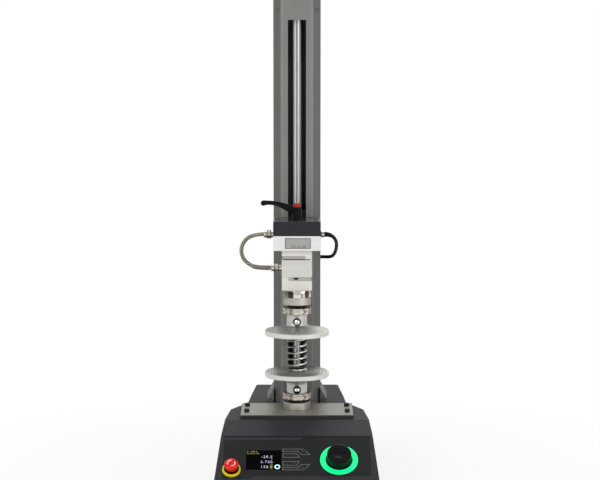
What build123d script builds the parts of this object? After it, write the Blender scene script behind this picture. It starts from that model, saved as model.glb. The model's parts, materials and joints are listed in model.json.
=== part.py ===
"""Single-column universal testing machine: base with sloped control panel, slotted column,
ball-screw crosshead with S-beam load cell, compression platens and a test spring.

Millimetres, +Z up. The origin is on the bench, midway across and along the base.
The front of the machine faces -Y. The load axis is the vertical line through the platens.
"""
import os
from math import atan2, cos, degrees, pi, radians, sin, tan

from build123d import *

os.makedirs("parts", exist_ok=True)

# General clearances and ratios
full_turn = 360.0
bend_share = 0.45
slide_gap = 0.3
running_gap = 0.05
screw_hole_gap = 0.3

# Base housing
base_width = 328.0
base_depth = 523.0
load_axis_from_front = 235.0
housing_bottom_z = 5.0
deck_z = 140.0
deck_chamfer_drop = 20.0
wall = 5.0
corner_radius = 6.0
cavity_corner_radius = 3.0
waist_from_load_axis = 98.0
shoulder_from_load_axis = 26.0
deck_rear_half = 86.0
deck_waist_half = 98.0
deck_shoulder_half = 132.5
deck_front_half = 145.0
chamfer_spread = 10.0
front_chamfer_half = 148.0
shoulder_chamfer_half = 144.0
side_draft_spread = 6.0
shoulder_bottom_half = 160.0
band_top_from_load_axis = 74.0
panel_top_from_load_axis = 126.0
panel_top_z = 120.0
panel_bottom_from_load_axis = 214.0
panel_bottom_z = 53.0
panel_top_half = 141.6
panel_bottom_half = 142.8
band_top_half = 137.2

# Feet and base pan
foot_height = 8.0
foot_radius = 15.0
foot_inset = 34.0
pan_thickness = 3.0
pan_boss_radius = 6.0

# Control fascia, in the plane of the panel: x across, drop down the slope
fascia_thickness = 2.0
fascia_top_drop = 5.1
fascia_step_drop = 12.4
fascia_step_x = 12.0
fascia_lower_drop = 100.0
fascia_lower_x = -83.0
fascia_bottom_drop = 106.5
fascia_edge_margin = 2.0
display_left = -97.1
display_right = -29.4
display_top_drop = 36.9
display_bottom_drop = 84.9
display_border = 4.0
display_corner = 1.5
standby_x = -37.2
standby_drop = 78.0
standby_radius = 5.75
standby_travel = 1.0
key_left = -28.0
key_mirror_drop = 59.9
outer_key_top = 33.0
outer_key_waist = 41.5
outer_key_bottom = 49.0
outer_key_shoulder_x = 13.5
outer_key_tip_x = 27.5
outer_key_notch_x = 8.5
outer_key_inner_x = 2.5
inner_key_top = 44.5
inner_key_bottom = 56.0
inner_key_shoulder_x = 1.0
inner_key_tip_x = 6.5
key_proud = 0.4
key_travel = 0.5
key_flange = 0.9
key_flange_thickness = 1.0
board_drop = wall + key_flange_thickness + key_travel + 3 * slide_gap
board_thickness = 1.6
board_left = -104.0
board_right = 104.0
board_top_drop = 27.0
board_bottom_drop = 93.0
board_boss_radius = 3.0
board_boss_inset = 4.0

# Jog dial and its light ring
dial_x = 80.5
dial_drop = 60.5
ring_outer_radius = 36.2
ring_inner_radius = 25.8
ring_proud = 0.8
ring_seat = 1.0
dial_radius = 23.3
dial_height = 20.0
dial_dimple_radius = 10.2
dial_dimple_depth = 2.5
dial_shaft_radius = 3.0

# Emergency stop
estop_x = -124.2
estop_drop = 85.6
estop_ring_radius = 17.6
estop_ring_height = 4.5
estop_well_radius = 11.2
estop_barrel_radius = 11.0
estop_barrel_length = 22.0
estop_stem_radius = 7.0
estop_cap_radius = 13.9
estop_cap_height = 11.0
estop_spigot_radius = 5.0
estop_travel = 4.5
estop_cap_lift = estop_ring_height + estop_travel + 2 * slide_gap
estop_block_size = 27.0
estop_block_height = 18.0

# Test bed plate on the deck
bed_width = 221.0
bed_length = 118.0
bed_thickness = 8.0
bed_front_from_load_axis = 66.0
bed_screw_spacing_x = 198.0
bed_screw_spacing_y = 57.0
m6_radius = 3.0
m6_head_radius = 5.1
m6_head_height = 6.0
m6_socket_radius = 2.7
m6_socket_depth = 3.0
bed_screw_reach = 20.0
bed_boss_radius = 8.0
centre_stud_radius = 8.0

# Column, a hollow slotted extrusion standing on the deck
machine_height = 990.0
column_width = 94.0
column_depth = 120.0
column_wall = 6.0
column_chamfer = 15.0
column_front_from_load_axis = 70.0
slot_width = 36.0
slot_bottom_z = 170.0
slot_top_margin = 64.0
lead_slot_width = 16.0
cap_thickness = 12.0
cap_plug_depth = 8.0
foot_bracket_reach = 13.3
foot_bracket_toe = 5.8
foot_bracket_waist_height = 11.0
foot_bracket_height = 33.6
foot_bracket_depth = 90.0
foot_bracket_setback = 5.0
m4_radius = 2.0
m4_head_radius = 3.5
m4_head_height = 2.4
m4_socket_radius = 1.5
m4_socket_depth = 1.4
m4_reach = 12.0

# Guide shaft, ball screw and their bearings
shaft_radius = 10.7
shaft_from_column_front = 26.0
shaft_socket_depth = 16.0
shaft_socket_wall = 7.0
screw_from_column_front = 72.0
screw_radius = 8.0
screw_journal_radius = 6.0
screw_tail_radius = 5.0
bearing_width = 8.0
lower_bearing_radius = 14.0
upper_bearing_radius = 13.0
upper_block_height = 22.0
upper_block_drop = 56.0
deck_port_radius = 24.0

# Belt drive under the deck
drive_plate_z = 56.0
drive_plate_thickness = 10.0
drive_plate_width = 84.0
drive_plate_margin = 24.0
drive_pillar_radius = 6.0
pulley_centres = 92.0
pulley_height = 14.0
pulley_drop = 6.0
belt_thickness = 2.0
belt_width = 10.0
screw_pulley_teeth = 30
motor_pulley_teeth = 20
belt_pitch = 5.0
tooth_depth = 1.2
motor_size = 57.0
motor_height = 62.0
motor_corner = 5.0
motor_pilot_radius = 19.0
motor_shaft_radius = 4.0

# Electronics and sockets inside the base
supply_width = 70.0
supply_length = 110.0
supply_height = 38.0
supply_x = -70.0
supply_y = -20.0
drive_board_width = 80.0
drive_board_length = 120.0
drive_board_height = 12.0
drive_board_x = 70.0
drive_board_y = -30.0
inlet_x = -52.0
inlet_z = 70.0
inlet_width = 30.0
inlet_height = 52.0
inlet_flange = 2.5
inlet_lip = 3.0
inlet_depth = 20.0
inlet_recess = 3.0
inlet_socket_width = 24.5
inlet_socket_height = 16.5
inlet_socket_drop = 13.0
blade_thickness = 2.0
blade_height = 4.0
blade_pitch = 7.0
rocker_width = 19.0
rocker_height = 13.0
rocker_rise = 14.0
rocker_pin_radius = 2.0
rocker_face = 7.0
rocker_half = 5.2
rocker_waist = 1.6
rocker_hub = 4.0
rocker_tilt = 8.0
data_x = 40.0
data_width = 46.0
data_height = 22.0
data_depth = 14.0
data_socket_width = 12.0
data_socket_height = 9.0
data_socket_pitch = 22.0
data_socket_depth = 10.0
vent_width = 3.0
vent_length = 46.0
vent_pitch = 7.0
vent_count = 6
vent_z = 112.0

# Fixture couplings and compression platens
coupling_radius = 27.5
lower_disc_height = 15.0
lower_thread_gap = 5.3
upper_thread_gap = 6.6
upper_ring_height = 13.8
upper_neck_height = 14.7
groove_depth = 1.2
groove_width = 1.6
thread_radius = 18.0
collar_height = 12.0
tommy_radius = 2.4
tommy_depth = 5.0
tommy_count = 6
tommy_turn = 245.0
spigot_radius = 10.0
spigot_length = 22.0
platen_radius = 63.5
platen_rim = 9.0
platen_height = 42.0
platen_cone_height = 18.4
platen_cone_radius = 22.5
hub_radius = 20.0
edge_break = 0.8
pin_radius = 4.0
pin_ball_radius = 8.3
pin_tail = 1.0
lower_pin_rise = 32.2
upper_pin_rise = 29.1

# Test spring standing between the platens
spring_length = 73.7
spring_outer_radius = 20.0
wire_radius = 1.6
spring_pitch = 12.3
closed_coils = 2

# Load cell, an S-beam under the crosshead arm
cell_width = 59.0
cell_thickness = 26.0
cell_height = 87.0
cell_slot_height = 8.0
cell_bar = 18.5
cell_slot_stop = 17.0
cell_seal_thickness = 2.0
cell_seal_setback = 1.5
cell_cover_width = 54.0
cell_cover_height = 34.0
cell_cover_thickness = 0.8
cell_corner = 1.5
cell_stud_radius = 6.0
cell_stud_length = 14.0

# Crosshead arm, electronics module and carriage
arm_width = 34.0
arm_height = 45.0
arm_front_from_load_axis = 16.0
module_width = 93.3
module_front_from_load_axis = 22.0
module_rear_from_load_axis = 60.0
module_wall = 2.5
module_below_arm = 7.6
module_split_height = 29.2
module_height = 58.1
module_corner = 4.0
window_width = 50.4
window_height = 20.9
window_x = 1.9
window_rise = 4.5
window_depth = 0.6
carriage_height = 110.0
carriage_below_arm = 48.0
carriage_width = 72.0
carriage_front_gap = 3.0
carriage_rear_gap = 10.0
carriage_chamfer = 12.0
bush_radius = 13.7
bush_length = 24.0
bush_inset = 3.0
nut_radius = 14.0
nut_length = 34.0
nut_flange_radius = 20.0
nut_flange_height = 9.0
travel_end_gap = 7.0

# Steel conduit with its two glands, and the signal lead with its two fittings
gland_height = 30.8
gland_across = 16.0
gland_nut_length = 9.0
gland_dome_length = 5.6
gland_body_radius = 6.4
gland_dome_radius = 6.8
upper_gland_length = 18.2
lower_gland_length = 21.5
conduit_diameter = 8.2
lead_diameter = 6.4
connector_radius = 6.2
connector_length = 7.2
lead_socket_radius = 6.3
lead_socket_length = 10.0
cord_grip = 3.0
lead_grip = 6.2
conduit_out = 88.5
conduit_bow = 109.3
conduit_upper_bend = 477.0
conduit_lower_bend = 450.0
conduit_turn = 90.0
conduit_turn_z = 432.3
conduit_in = 69.0
lead_socket_rise = 13.0
lead_from_column_front = 33.0
lead_exit_x = 59.5
lead_bend_x = 69.8
lead_bend_back = 5.0
lead_bend_z = 492.5
lead_bow_x = 75.6
lead_bow_back = 14.0
lead_bow_z = 486.0
lead_drop_x = 76.2
lead_drop_back = 33.0
lead_drop_z = 473.5
lead_side_x = 74.6
lead_side_back = 64.0
lead_side_z = 455.0
lead_turn_x = 71.3
lead_turn_back = 87.0
lead_turn_z = 443.3
lead_curl_x = 65.0
lead_curl_back = 97.2
lead_curl_z = 439.6
lead_entry_x = 54.5

# Clamp lever on top of the crosshead
lever_from_load_axis = 8.0
lever_hub_radius = 9.3
lever_hub_height = 25.2
lever_stud_radius = 5.0
lever_stud_engagement = 12.0
lever_root_reach = 8.0
lever_root_rise = 19.5
lever_root_size = (7.0, 8.3)
lever_waist_reach = 25.0
lever_waist_rise = 26.4
lever_waist_size = (6.0, 6.5)
lever_neck_reach = 40.0
lever_neck_rise = 31.5
lever_neck_size = (5.0, 4.7)
lever_crest_reach = 55.0
lever_crest_rise = 33.7
lever_crest_size = (5.0, 4.3)
lever_tip_reach = 68.0
lever_tip_rise = 32.8
lever_ball_reach = 66.0
lever_ball_radius = 5.3
lever_tip_size = (5.6, 5.6)
button_radius = 6.1
button_proud = 7.6
button_depth = 8.0
button_travel = 2.0

# Places along Y
front_y = -base_depth / 2
rear_y = base_depth / 2
load_y = front_y + load_axis_from_front
column_front_y = load_y + column_front_from_load_axis
column_rear_y = column_front_y + column_depth
shaft_y = column_front_y + shaft_from_column_front
screw_y = column_front_y + screw_from_column_front
motor_y = screw_y + pulley_centres
panel_top_y = load_y - panel_top_from_load_axis
panel_bottom_y = load_y - panel_bottom_from_load_axis
band_top_y = load_y - band_top_from_load_axis
bed_centre_y = load_y - bed_front_from_load_axis + bed_length / 2
lever_y = load_y + lever_from_load_axis
lead_y = column_front_y + lead_from_column_front

# Places along Z, built up from the bench to the crosshead
pan_top_z = foot_height + pan_thickness
bed_top_z = deck_z + bed_thickness
lower_disc_top_z = bed_top_z + lower_disc_height
lower_collar_z = lower_disc_top_z + lower_thread_gap
lower_hub_z = lower_collar_z + collar_height + slide_gap
lower_face_z = lower_hub_z + platen_height
upper_face_z = lower_face_z + spring_length + slide_gap
upper_hub_z = upper_face_z + platen_height
upper_collar_z = upper_hub_z + slide_gap
upper_ring_z = upper_collar_z + collar_height + upper_thread_gap
cell_z = upper_ring_z + upper_ring_height + upper_neck_height
arm_z = cell_z + cell_height
module_z = arm_z - module_below_arm
split_z = module_z + module_split_height
module_top_z = module_z + module_height
carriage_z = arm_z - carriage_below_arm
carriage_top_z = carriage_z + carriage_height
lower_gland_z = cell_z + cell_height / 2
upper_gland_z = module_z + gland_height
lead_socket_z = carriage_z + lead_socket_rise
column_top_z = machine_height - cap_thickness
slot_top_z = column_top_z - slot_top_margin
upper_block_z = column_top_z - upper_block_drop
crosshead_travel = upper_block_z - travel_end_gap - carriage_top_z
lever_hub_z = module_top_z + slide_gap
lever_top_z = lever_hub_z + lever_hub_height

# Working planes
panel_slope = atan2(panel_top_z - panel_bottom_z, panel_top_y - panel_bottom_y)
panel = Plane(
    origin=(0, panel_top_y, panel_top_z),
    x_dir=(1, 0, 0),
    z_dir=(0, -sin(panel_slope), cos(panel_slope)),
)
load_plane = Plane(origin=(0, load_y, 0), x_dir=(1, 0, 0), z_dir=(0, -1, 0))
load_axis = Axis((0, load_y, 0), (0, 0, 1))
panel_axis = Axis(panel.origin, panel.z_dir)
rear_face = Plane(origin=(0, rear_y, 0), x_dir=(-1, 0, 0), z_dir=(0, 1, 0))
inlet_place = rear_face.from_local_coords((-inlet_x, inlet_z, -inlet_recess))
inlet_plane = Plane(inlet_place, rear_face.x_dir, rear_face.z_dir)
data_place = rear_face.from_local_coords((-data_x, inlet_z, -inlet_recess))
data_plane = Plane(data_place, rear_face.x_dir, rear_face.z_dir)


def on_panel(x, drop, height=0.0):
    """Plane parallel to the panel, centred x across and drop down its slope."""
    return Plane(panel.from_local_coords((x, -drop, height)), x_dir=panel.x_dir, z_dir=panel.z_dir)


def save(part, name):
    """Label a finished piece and write its STEP file."""
    part.label = name
    export_step(part, f"parts/{name}.step")


def outline(z, rear, waist, shoulder, front, inset):
    """Plan of the base at one height: tapered tail, shoulders and a broad front."""
    right_side = [
        (rear - inset, rear_y - inset),
        (waist - inset, load_y + waist_from_load_axis),
        (shoulder - inset, load_y + shoulder_from_load_axis),
        (front - inset, front_y + inset),
    ]
    left_side = [(-x, y) for x, y in reversed(right_side)]
    with BuildSketch(Plane.XY.offset(z)) as plan:
        with BuildLine():
            Polyline(*right_side, *left_side, close=True)
        make_face()
        fillet(plan.vertices(), radius=cavity_corner_radius if inset else corner_radius)
    return plan.sketch


def edge_plane(near, far, tilt, inset):
    """Cutting plane along the edge near-far, its normal tilted out from the face beside it."""
    along = (Vector(*far) - Vector(*near)).normalized()
    face_normal = Vector(1, 0, 0).cross(along)
    if face_normal.Z < 0:
        face_normal = -face_normal
    across = along.cross(face_normal)
    if across.X < 0:
        across = -across
    normal = (across * cos(tilt) + face_normal * sin(tilt)).normalized()
    return Plane(Vector(*near) - normal * inset, x_dir=along, z_dir=normal)


def base_form(inset, bottom_z):
    """The solid form of the base, drawn in from its outer faces by an even inset."""
    chamfer_z = deck_z - deck_chamfer_drop
    rear_bottom = deck_rear_half + chamfer_spread + side_draft_spread
    waist_bottom = deck_waist_half + chamfer_spread + side_draft_spread
    with BuildPart() as form:
        add(outline(bottom_z, rear_bottom, waist_bottom, shoulder_bottom_half, base_width / 2, inset))
        add(
            outline(
                chamfer_z,
                deck_rear_half + chamfer_spread,
                deck_waist_half + chamfer_spread,
                shoulder_chamfer_half,
                front_chamfer_half,
                inset,
            )
        )
        add(outline(deck_z, deck_rear_half, deck_waist_half, deck_shoulder_half, deck_front_half, inset))
        loft(ruled=True)
        with BuildSketch(Plane.YZ):
            with BuildLine():
                Polyline(
                    (rear_y + wall, -deck_z),
                    (rear_y + wall, deck_z),
                    (band_top_y, deck_z),
                    (panel_top_y, panel_top_z),
                    (panel_bottom_y, panel_bottom_z),
                    (front_y, housing_bottom_z),
                    (front_y, -deck_z),
                    close=True,
                )
            make_face()
            if inset:
                offset(amount=-inset, kind=Kind.INTERSECTION)
        extrude(amount=base_width, both=True, mode=Mode.INTERSECT)
        band_near = (band_top_half, band_top_y, deck_z)
        panel_near = (panel_top_half, panel_top_y, panel_top_z)
        panel_far = (panel_bottom_half, panel_bottom_y, panel_bottom_z)
        for near, far in ((band_near, panel_near), (panel_near, panel_far)):
            cut = edge_plane(near, far, pi / 4, inset)
            split(bisect_by=cut, keep=Keep.BOTTOM)
            mirrored = Plane(
                (-cut.origin.X, cut.origin.Y, cut.origin.Z),
                x_dir=(-cut.x_dir.X, cut.x_dir.Y, cut.x_dir.Z),
                z_dir=(-cut.z_dir.X, cut.z_dir.Y, cut.z_dir.Z),
            )
            split(bisect_by=mirrored, keep=Keep.BOTTOM)
    return form.part


def panel_half_at(drop):
    """Half width of the flat panel at a drop down its slope."""
    slope_length = (panel_top_z - panel_bottom_z) / sin(panel_slope)
    return panel_top_half + (panel_bottom_half - panel_top_half) * drop / slope_length


def fascia_outline(gap=0.0):
    """Outline of the control fascia on the panel, stepped at its top and foot."""
    with BuildSketch() as face:
        with BuildLine():
            Polyline(
                (-panel_half_at(fascia_step_drop) + fascia_edge_margin, -fascia_step_drop),
                (fascia_step_x - (fascia_step_drop - fascia_top_drop), -fascia_step_drop),
                (fascia_step_x, -fascia_top_drop),
                (panel_half_at(fascia_top_drop) - fascia_edge_margin, -fascia_top_drop),
                (panel_half_at(fascia_lower_drop) - fascia_edge_margin, -fascia_lower_drop),
                (fascia_lower_x, -fascia_lower_drop),
                (fascia_lower_x - (fascia_bottom_drop - fascia_lower_drop), -fascia_bottom_drop),
                (-panel_half_at(fascia_bottom_drop) + fascia_edge_margin, -fascia_bottom_drop),
                close=True,
            )
        make_face()
        if gap:
            offset(amount=gap, kind=Kind.INTERSECTION)
    return face.sketch


def key_outline(inner, upper, grow=0.0):
    """Outline of one soft key. The lower two are mirror images of the upper two."""
    if inner:
        points = [
            (key_left, inner_key_top),
            (inner_key_shoulder_x, inner_key_top),
            (inner_key_tip_x, inner_key_bottom),
            (key_left, inner_key_bottom),
        ]
    else:
        points = [
            (key_left, outer_key_top),
            (outer_key_shoulder_x, outer_key_top),
            (outer_key_tip_x, outer_key_bottom),
            (outer_key_notch_x, outer_key_bottom),
            (outer_key_inner_x, outer_key_waist),
            (key_left, outer_key_waist),
        ]
    if not upper:
        points = [(x, 2 * key_mirror_drop - drop) for x, drop in points]
    with BuildSketch() as face:
        with BuildLine():
            Polyline(*[(x, -drop) for x, drop in points], close=True)
        make_face()
        if grow:
            offset(amount=grow, kind=Kind.INTERSECTION)
    return face.sketch


soft_keys = {
    "soft_key_1": (False, True),
    "soft_key_2": (True, True),
    "soft_key_3": (True, False),
    "soft_key_4": (False, False),
}
display_width = display_right - display_left
display_height = display_bottom_drop - display_top_drop
display_centre = (display_left + display_width / 2, -display_top_drop - display_height / 2)
board_boss_places = [
    (x, -drop)
    for x in (board_left + board_boss_inset, board_right - board_boss_inset)
    for drop in (board_top_drop + board_boss_inset, board_bottom_drop - board_boss_inset)
]
bed_screw_places = GridLocations(bed_screw_spacing_x, bed_screw_spacing_y, 2, 2)

# Base housing: an open-bottomed casting with a deck, a sloped panel and bosses underneath
with BuildPart() as base_housing:
    add(base_form(0.0, housing_bottom_z))
    add(base_form(wall, housing_bottom_z), mode=Mode.SUBTRACT)
    with BuildSketch(Plane.XY.offset(deck_z)):
        with Locations((0, bed_centre_y)):
            with GridLocations(bed_screw_spacing_x, bed_screw_spacing_y, 2, 2):
                Circle(bed_boss_radius)
    extrude(amount=-bed_screw_reach)
    with BuildSketch(Plane.XY.offset(deck_z)):
        with Locations((0, bed_centre_y)):
            with GridLocations(bed_screw_spacing_x, bed_screw_spacing_y, 2, 2):
                Circle(m6_radius)
    extrude(amount=-bed_screw_reach, mode=Mode.SUBTRACT)
    with BuildSketch(Plane.XY.offset(deck_z)):
        with Locations((0, shaft_y)):
            Circle(shaft_radius + shaft_socket_wall)
    extrude(amount=-shaft_socket_depth - wall)
    with BuildSketch(Plane.XY.offset(deck_z)):
        with Locations((0, shaft_y)):
            Circle(shaft_radius + running_gap)
    extrude(amount=-shaft_socket_depth, mode=Mode.SUBTRACT)
    with BuildSketch(Plane.XY.offset(deck_z)):
        with Locations((0, screw_y)):
            Circle(deck_port_radius)
    extrude(amount=-wall - shaft_socket_depth, mode=Mode.SUBTRACT)
    with BuildSketch(Plane.XY.offset(deck_z)):
        with Locations((0, load_y)):
            Circle(centre_stud_radius)
    extrude(amount=-wall, mode=Mode.SUBTRACT)
    with BuildSketch(panel):
        add(fascia_outline(slide_gap))
    extrude(amount=-fascia_thickness, mode=Mode.SUBTRACT)
    with BuildSketch(on_panel(0, 0, -fascia_thickness)):
        with Locations(*board_boss_places):
            Circle(board_boss_radius)
    extrude(amount=fascia_thickness - board_drop)
    with BuildSketch(on_panel(0, 0, -fascia_thickness)):
        with Locations(display_centre):
            Rectangle(display_width - 2 * display_border, display_height - 2 * display_border)
        with Locations((standby_x, -standby_drop)):
            Circle(standby_radius + slide_gap + key_flange)
        for inner, upper in soft_keys.values():
            add(key_outline(inner, upper, slide_gap))
        with Locations((dial_x, -dial_drop)):
            Circle(dial_shaft_radius + slide_gap)
        with Locations((estop_x, -estop_drop)):
            Circle(estop_barrel_radius)
    extrude(amount=-wall - board_boss_radius, mode=Mode.SUBTRACT)
    with BuildSketch(rear_face):
        with Locations((-inlet_x, inlet_z)):
            Rectangle(inlet_width, inlet_height)
        with Locations((-data_x, inlet_z)):
            Rectangle(data_width, data_height)
        with Locations((0, vent_z)):
            with GridLocations(vent_pitch, 0, vent_count, 1):
                SlotOverall(vent_length / 2, vent_width, rotation=90)
    extrude(amount=-wall - inlet_recess, mode=Mode.SUBTRACT)
save(base_housing.part, "base_housing")

# Base pan: the bottom plate inside the skirt of the housing
with BuildPart() as base_pan:
    add(base_form(wall + slide_gap, housing_bottom_z))
    with BuildSketch(Plane.XY.offset(foot_height)):
        Rectangle(base_width, base_depth)
    extrude(amount=pan_thickness, mode=Mode.INTERSECT)
save(base_pan.part, "base_pan")

# Rubber feet under the pan
with BuildPart() as rubber_feet:
    front_foot_x = base_width / 2 - foot_inset
    rear_foot_x = deck_rear_half - wall
    foot_places = [(side * front_foot_x, front_y + foot_inset) for side in (-1, 1)]
    foot_places += [(side * rear_foot_x, rear_y - foot_inset) for side in (-1, 1)]
    with BuildSketch():
        with Locations(*foot_places):
            Circle(foot_radius)
    extrude(amount=foot_height)
    chamfer(rubber_feet.edges().group_by(Axis.Z)[0], length=edge_break)
save(rubber_feet.part, "rubber_feet")

# Control fascia: a thin plate let into the panel
with BuildPart() as control_fascia:
    with BuildSketch(panel):
        add(fascia_outline())
    extrude(amount=-fascia_thickness)
    with BuildSketch(panel):
        with Locations(display_centre):
            RectangleRounded(display_width + slide_gap, display_height + slide_gap, display_corner)
        for inner, upper in soft_keys.values():
            add(key_outline(inner, upper, slide_gap))
        with Locations((dial_x, -dial_drop)):
            Circle(dial_shaft_radius + slide_gap)
        with Locations((estop_x, -estop_drop)):
            Circle(estop_barrel_radius)
    extrude(amount=-fascia_thickness, mode=Mode.SUBTRACT)
    with BuildSketch(panel):
        with Locations((dial_x, -dial_drop)):
            Circle(ring_outer_radius)
            Circle(ring_inner_radius, mode=Mode.SUBTRACT)
    extrude(amount=-ring_seat, mode=Mode.SUBTRACT)
save(control_fascia.part, "control_fascia")

# Display glass, with a hole for the standby button in its corner
with BuildPart() as display_glass:
    with BuildSketch(panel):
        with Locations(display_centre):
            RectangleRounded(display_width, display_height, display_corner)
        with Locations((standby_x, -standby_drop)):
            Circle(standby_radius + slide_gap, mode=Mode.SUBTRACT)
    extrude(amount=-fascia_thickness)
save(display_glass.part, "display_glass")

# Light ring around the dial
with BuildPart() as dial_light_ring:
    with BuildSketch(on_panel(dial_x, dial_drop, -ring_seat)):
        Circle(ring_outer_radius)
        Circle(ring_inner_radius, mode=Mode.SUBTRACT)
    extrude(amount=ring_seat + ring_proud)
    fillet(dial_light_ring.faces().sort_by(panel_axis)[-1].edges(), radius=ring_proud / 2)
save(dial_light_ring.part, "dial_light_ring")

# Control boards: the panel board on the bosses of the housing and the drive board on the pan
with BuildPart() as control_boards:
    with BuildSketch(on_panel(0, 0, -board_drop)):
        with Locations(((board_left + board_right) / 2, -(board_top_drop + board_bottom_drop) / 2)):
            Rectangle(board_right - board_left, board_bottom_drop - board_top_drop)
    extrude(amount=-board_thickness)
    with BuildSketch(on_panel(dial_x, dial_drop, -board_drop)):
        Circle(2 * dial_shaft_radius)
        Circle(dial_shaft_radius + running_gap, mode=Mode.SUBTRACT)
    extrude(amount=board_drop - wall - slide_gap)
    with BuildSketch(Plane.XY.offset(pan_top_z)):
        with Locations((drive_board_x, drive_board_y)):
            with GridLocations(
                drive_board_width - 4 * board_boss_inset, drive_board_length - 4 * board_boss_inset, 2, 2
            ):
                Circle(board_boss_radius)
    extrude(amount=pan_boss_radius)
    with BuildSketch(Plane.XY.offset(pan_top_z + pan_boss_radius)):
        with Locations((drive_board_x, drive_board_y)):
            Rectangle(drive_board_width, drive_board_length)
    extrude(amount=board_thickness)
    with BuildSketch(Plane.XY.offset(pan_top_z + pan_boss_radius + board_thickness)):
        with Locations((drive_board_x, drive_board_y)):
            with GridLocations(drive_board_width / 3, drive_board_length / 3, 2, 3):
                Rectangle(drive_board_height, drive_board_height)
    extrude(amount=drive_board_height)
save(control_boards.part, "control_boards")

# Soft keys, each with a flange behind the panel
for name, (inner, upper) in soft_keys.items():
    with BuildPart() as soft_key:
        with BuildSketch(on_panel(0, 0, -wall - slide_gap - key_flange_thickness)):
            add(key_outline(inner, upper))
        extrude(amount=wall + slide_gap + key_flange_thickness + key_proud)
        with BuildSketch(on_panel(0, 0, -wall - slide_gap - key_flange_thickness)):
            add(key_outline(inner, upper, key_flange))
        extrude(amount=key_flange_thickness)
    save(soft_key.part, name)

# Standby button, held by its flange under the glass
with BuildPart() as standby_button:
    with BuildSketch(on_panel(standby_x, standby_drop, key_proud)):
        Circle(standby_radius)
    extrude(amount=-board_drop + slide_gap + standby_travel - key_proud)
    with BuildSketch(on_panel(standby_x, standby_drop, -fascia_thickness - slide_gap)):
        Circle(standby_radius + key_flange)
    extrude(amount=-key_flange_thickness)
save(standby_button.part, "standby_button")

# Jog dial with a finger dimple, turning on a plain shaft
with BuildPart() as jog_dial:
    with BuildSketch(on_panel(dial_x, dial_drop, ring_proud - key_proud)):
        Circle(dial_radius)
    extrude(amount=dial_height - ring_proud + key_proud)
    fillet(jog_dial.faces().sort_by(panel_axis)[-1].edges(), radius=3 * edge_break)
    with BuildSketch(on_panel(dial_x, dial_drop, dial_height)):
        Circle(dial_dimple_radius)
    extrude(amount=-dial_dimple_depth, taper=30, mode=Mode.SUBTRACT)
    with BuildSketch(on_panel(dial_x, dial_drop, ring_proud - key_proud)):
        Circle(dial_shaft_radius)
    extrude(amount=-board_drop + slide_gap - ring_proud + key_proud)
save(jog_dial.part, "jog_dial")

# Emergency stop: yellow collar and barrel, stem, mushroom cap and contact block
with BuildPart() as estop_collar:
    with BuildSketch(on_panel(estop_x, estop_drop)):
        Circle(estop_ring_radius)
    extrude(amount=estop_ring_height)
    fillet(estop_collar.faces().sort_by(panel_axis)[-1].edges(), radius=2 * edge_break)
    with BuildSketch(on_panel(estop_x, estop_drop, estop_ring_height)):
        Circle(estop_well_radius)
    extrude(amount=-estop_ring_height + 2 * edge_break, mode=Mode.SUBTRACT)
    with BuildSketch(on_panel(estop_x, estop_drop)):
        Circle(estop_barrel_radius)
    extrude(amount=-estop_barrel_length)
    with BuildSketch(on_panel(estop_x, estop_drop, estop_ring_height)):
        Circle(estop_stem_radius + running_gap)
    extrude(amount=-estop_ring_height - estop_barrel_length, mode=Mode.SUBTRACT)
save(estop_collar.part, "estop_collar")

with BuildPart() as estop_contact_block:
    with BuildSketch(on_panel(estop_x, estop_drop, -estop_barrel_length)):
        Rectangle(estop_block_size, estop_block_size)
    extrude(amount=-estop_block_height)
    with BuildSketch(on_panel(estop_x, estop_drop, -estop_barrel_length)):
        Circle(estop_stem_radius + slide_gap)
    extrude(amount=-estop_block_height / 2, mode=Mode.SUBTRACT)
save(estop_contact_block.part, "estop_contact_block")

with BuildPart() as estop_stem:
    with BuildSketch(on_panel(estop_x, estop_drop, estop_cap_lift)):
        Circle(estop_stem_radius)
    extrude(amount=-estop_cap_lift - estop_barrel_length - edge_break)
    with BuildSketch(on_panel(estop_x, estop_drop, estop_cap_lift)):
        Circle(estop_spigot_radius)
    extrude(amount=estop_cap_height / 2)
save(estop_stem.part, "estop_stem")

with BuildPart() as estop_cap:
    with BuildSketch(on_panel(estop_x, estop_drop, estop_cap_lift + slide_gap)):
        Circle(estop_cap_radius - 2 * edge_break)
    extrude(amount=estop_cap_height / 2, taper=-degrees(atan2(2 * edge_break, estop_cap_height / 2)))
    with BuildSketch(on_panel(estop_x, estop_drop, estop_cap_lift + slide_gap + estop_cap_height / 2)):
        Circle(estop_cap_radius)
    extrude(amount=estop_cap_height / 2)
    fillet(estop_cap.faces().sort_by(panel_axis)[-1].edges(), radius=estop_cap_height / 2 - edge_break / 2)
    with BuildSketch(on_panel(estop_x, estop_drop, estop_cap_lift)):
        Circle(estop_spigot_radius + running_gap)
    extrude(amount=estop_cap_height / 2 + slide_gap, mode=Mode.SUBTRACT)
save(estop_cap.part, "estop_cap")

# Test bed plate with clearance holes and a threaded centre bore
with BuildPart() as test_bed_plate:
    with BuildSketch(Plane.XY.offset(deck_z)):
        with Locations((0, bed_centre_y)):
            Rectangle(bed_width, bed_length)
    extrude(amount=bed_thickness)
    chamfer(test_bed_plate.faces().sort_by(Axis.Z)[-1].edges(), length=edge_break)
    with BuildSketch(Plane.XY.offset(deck_z)):
        with Locations((0, bed_centre_y)):
            with GridLocations(bed_screw_spacing_x, bed_screw_spacing_y, 2, 2):
                Circle(m6_radius + screw_hole_gap)
        with Locations((0, load_y)):
            Circle(centre_stud_radius)
    extrude(amount=bed_thickness, mode=Mode.SUBTRACT)
save(test_bed_plate.part, "test_bed_plate")


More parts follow.
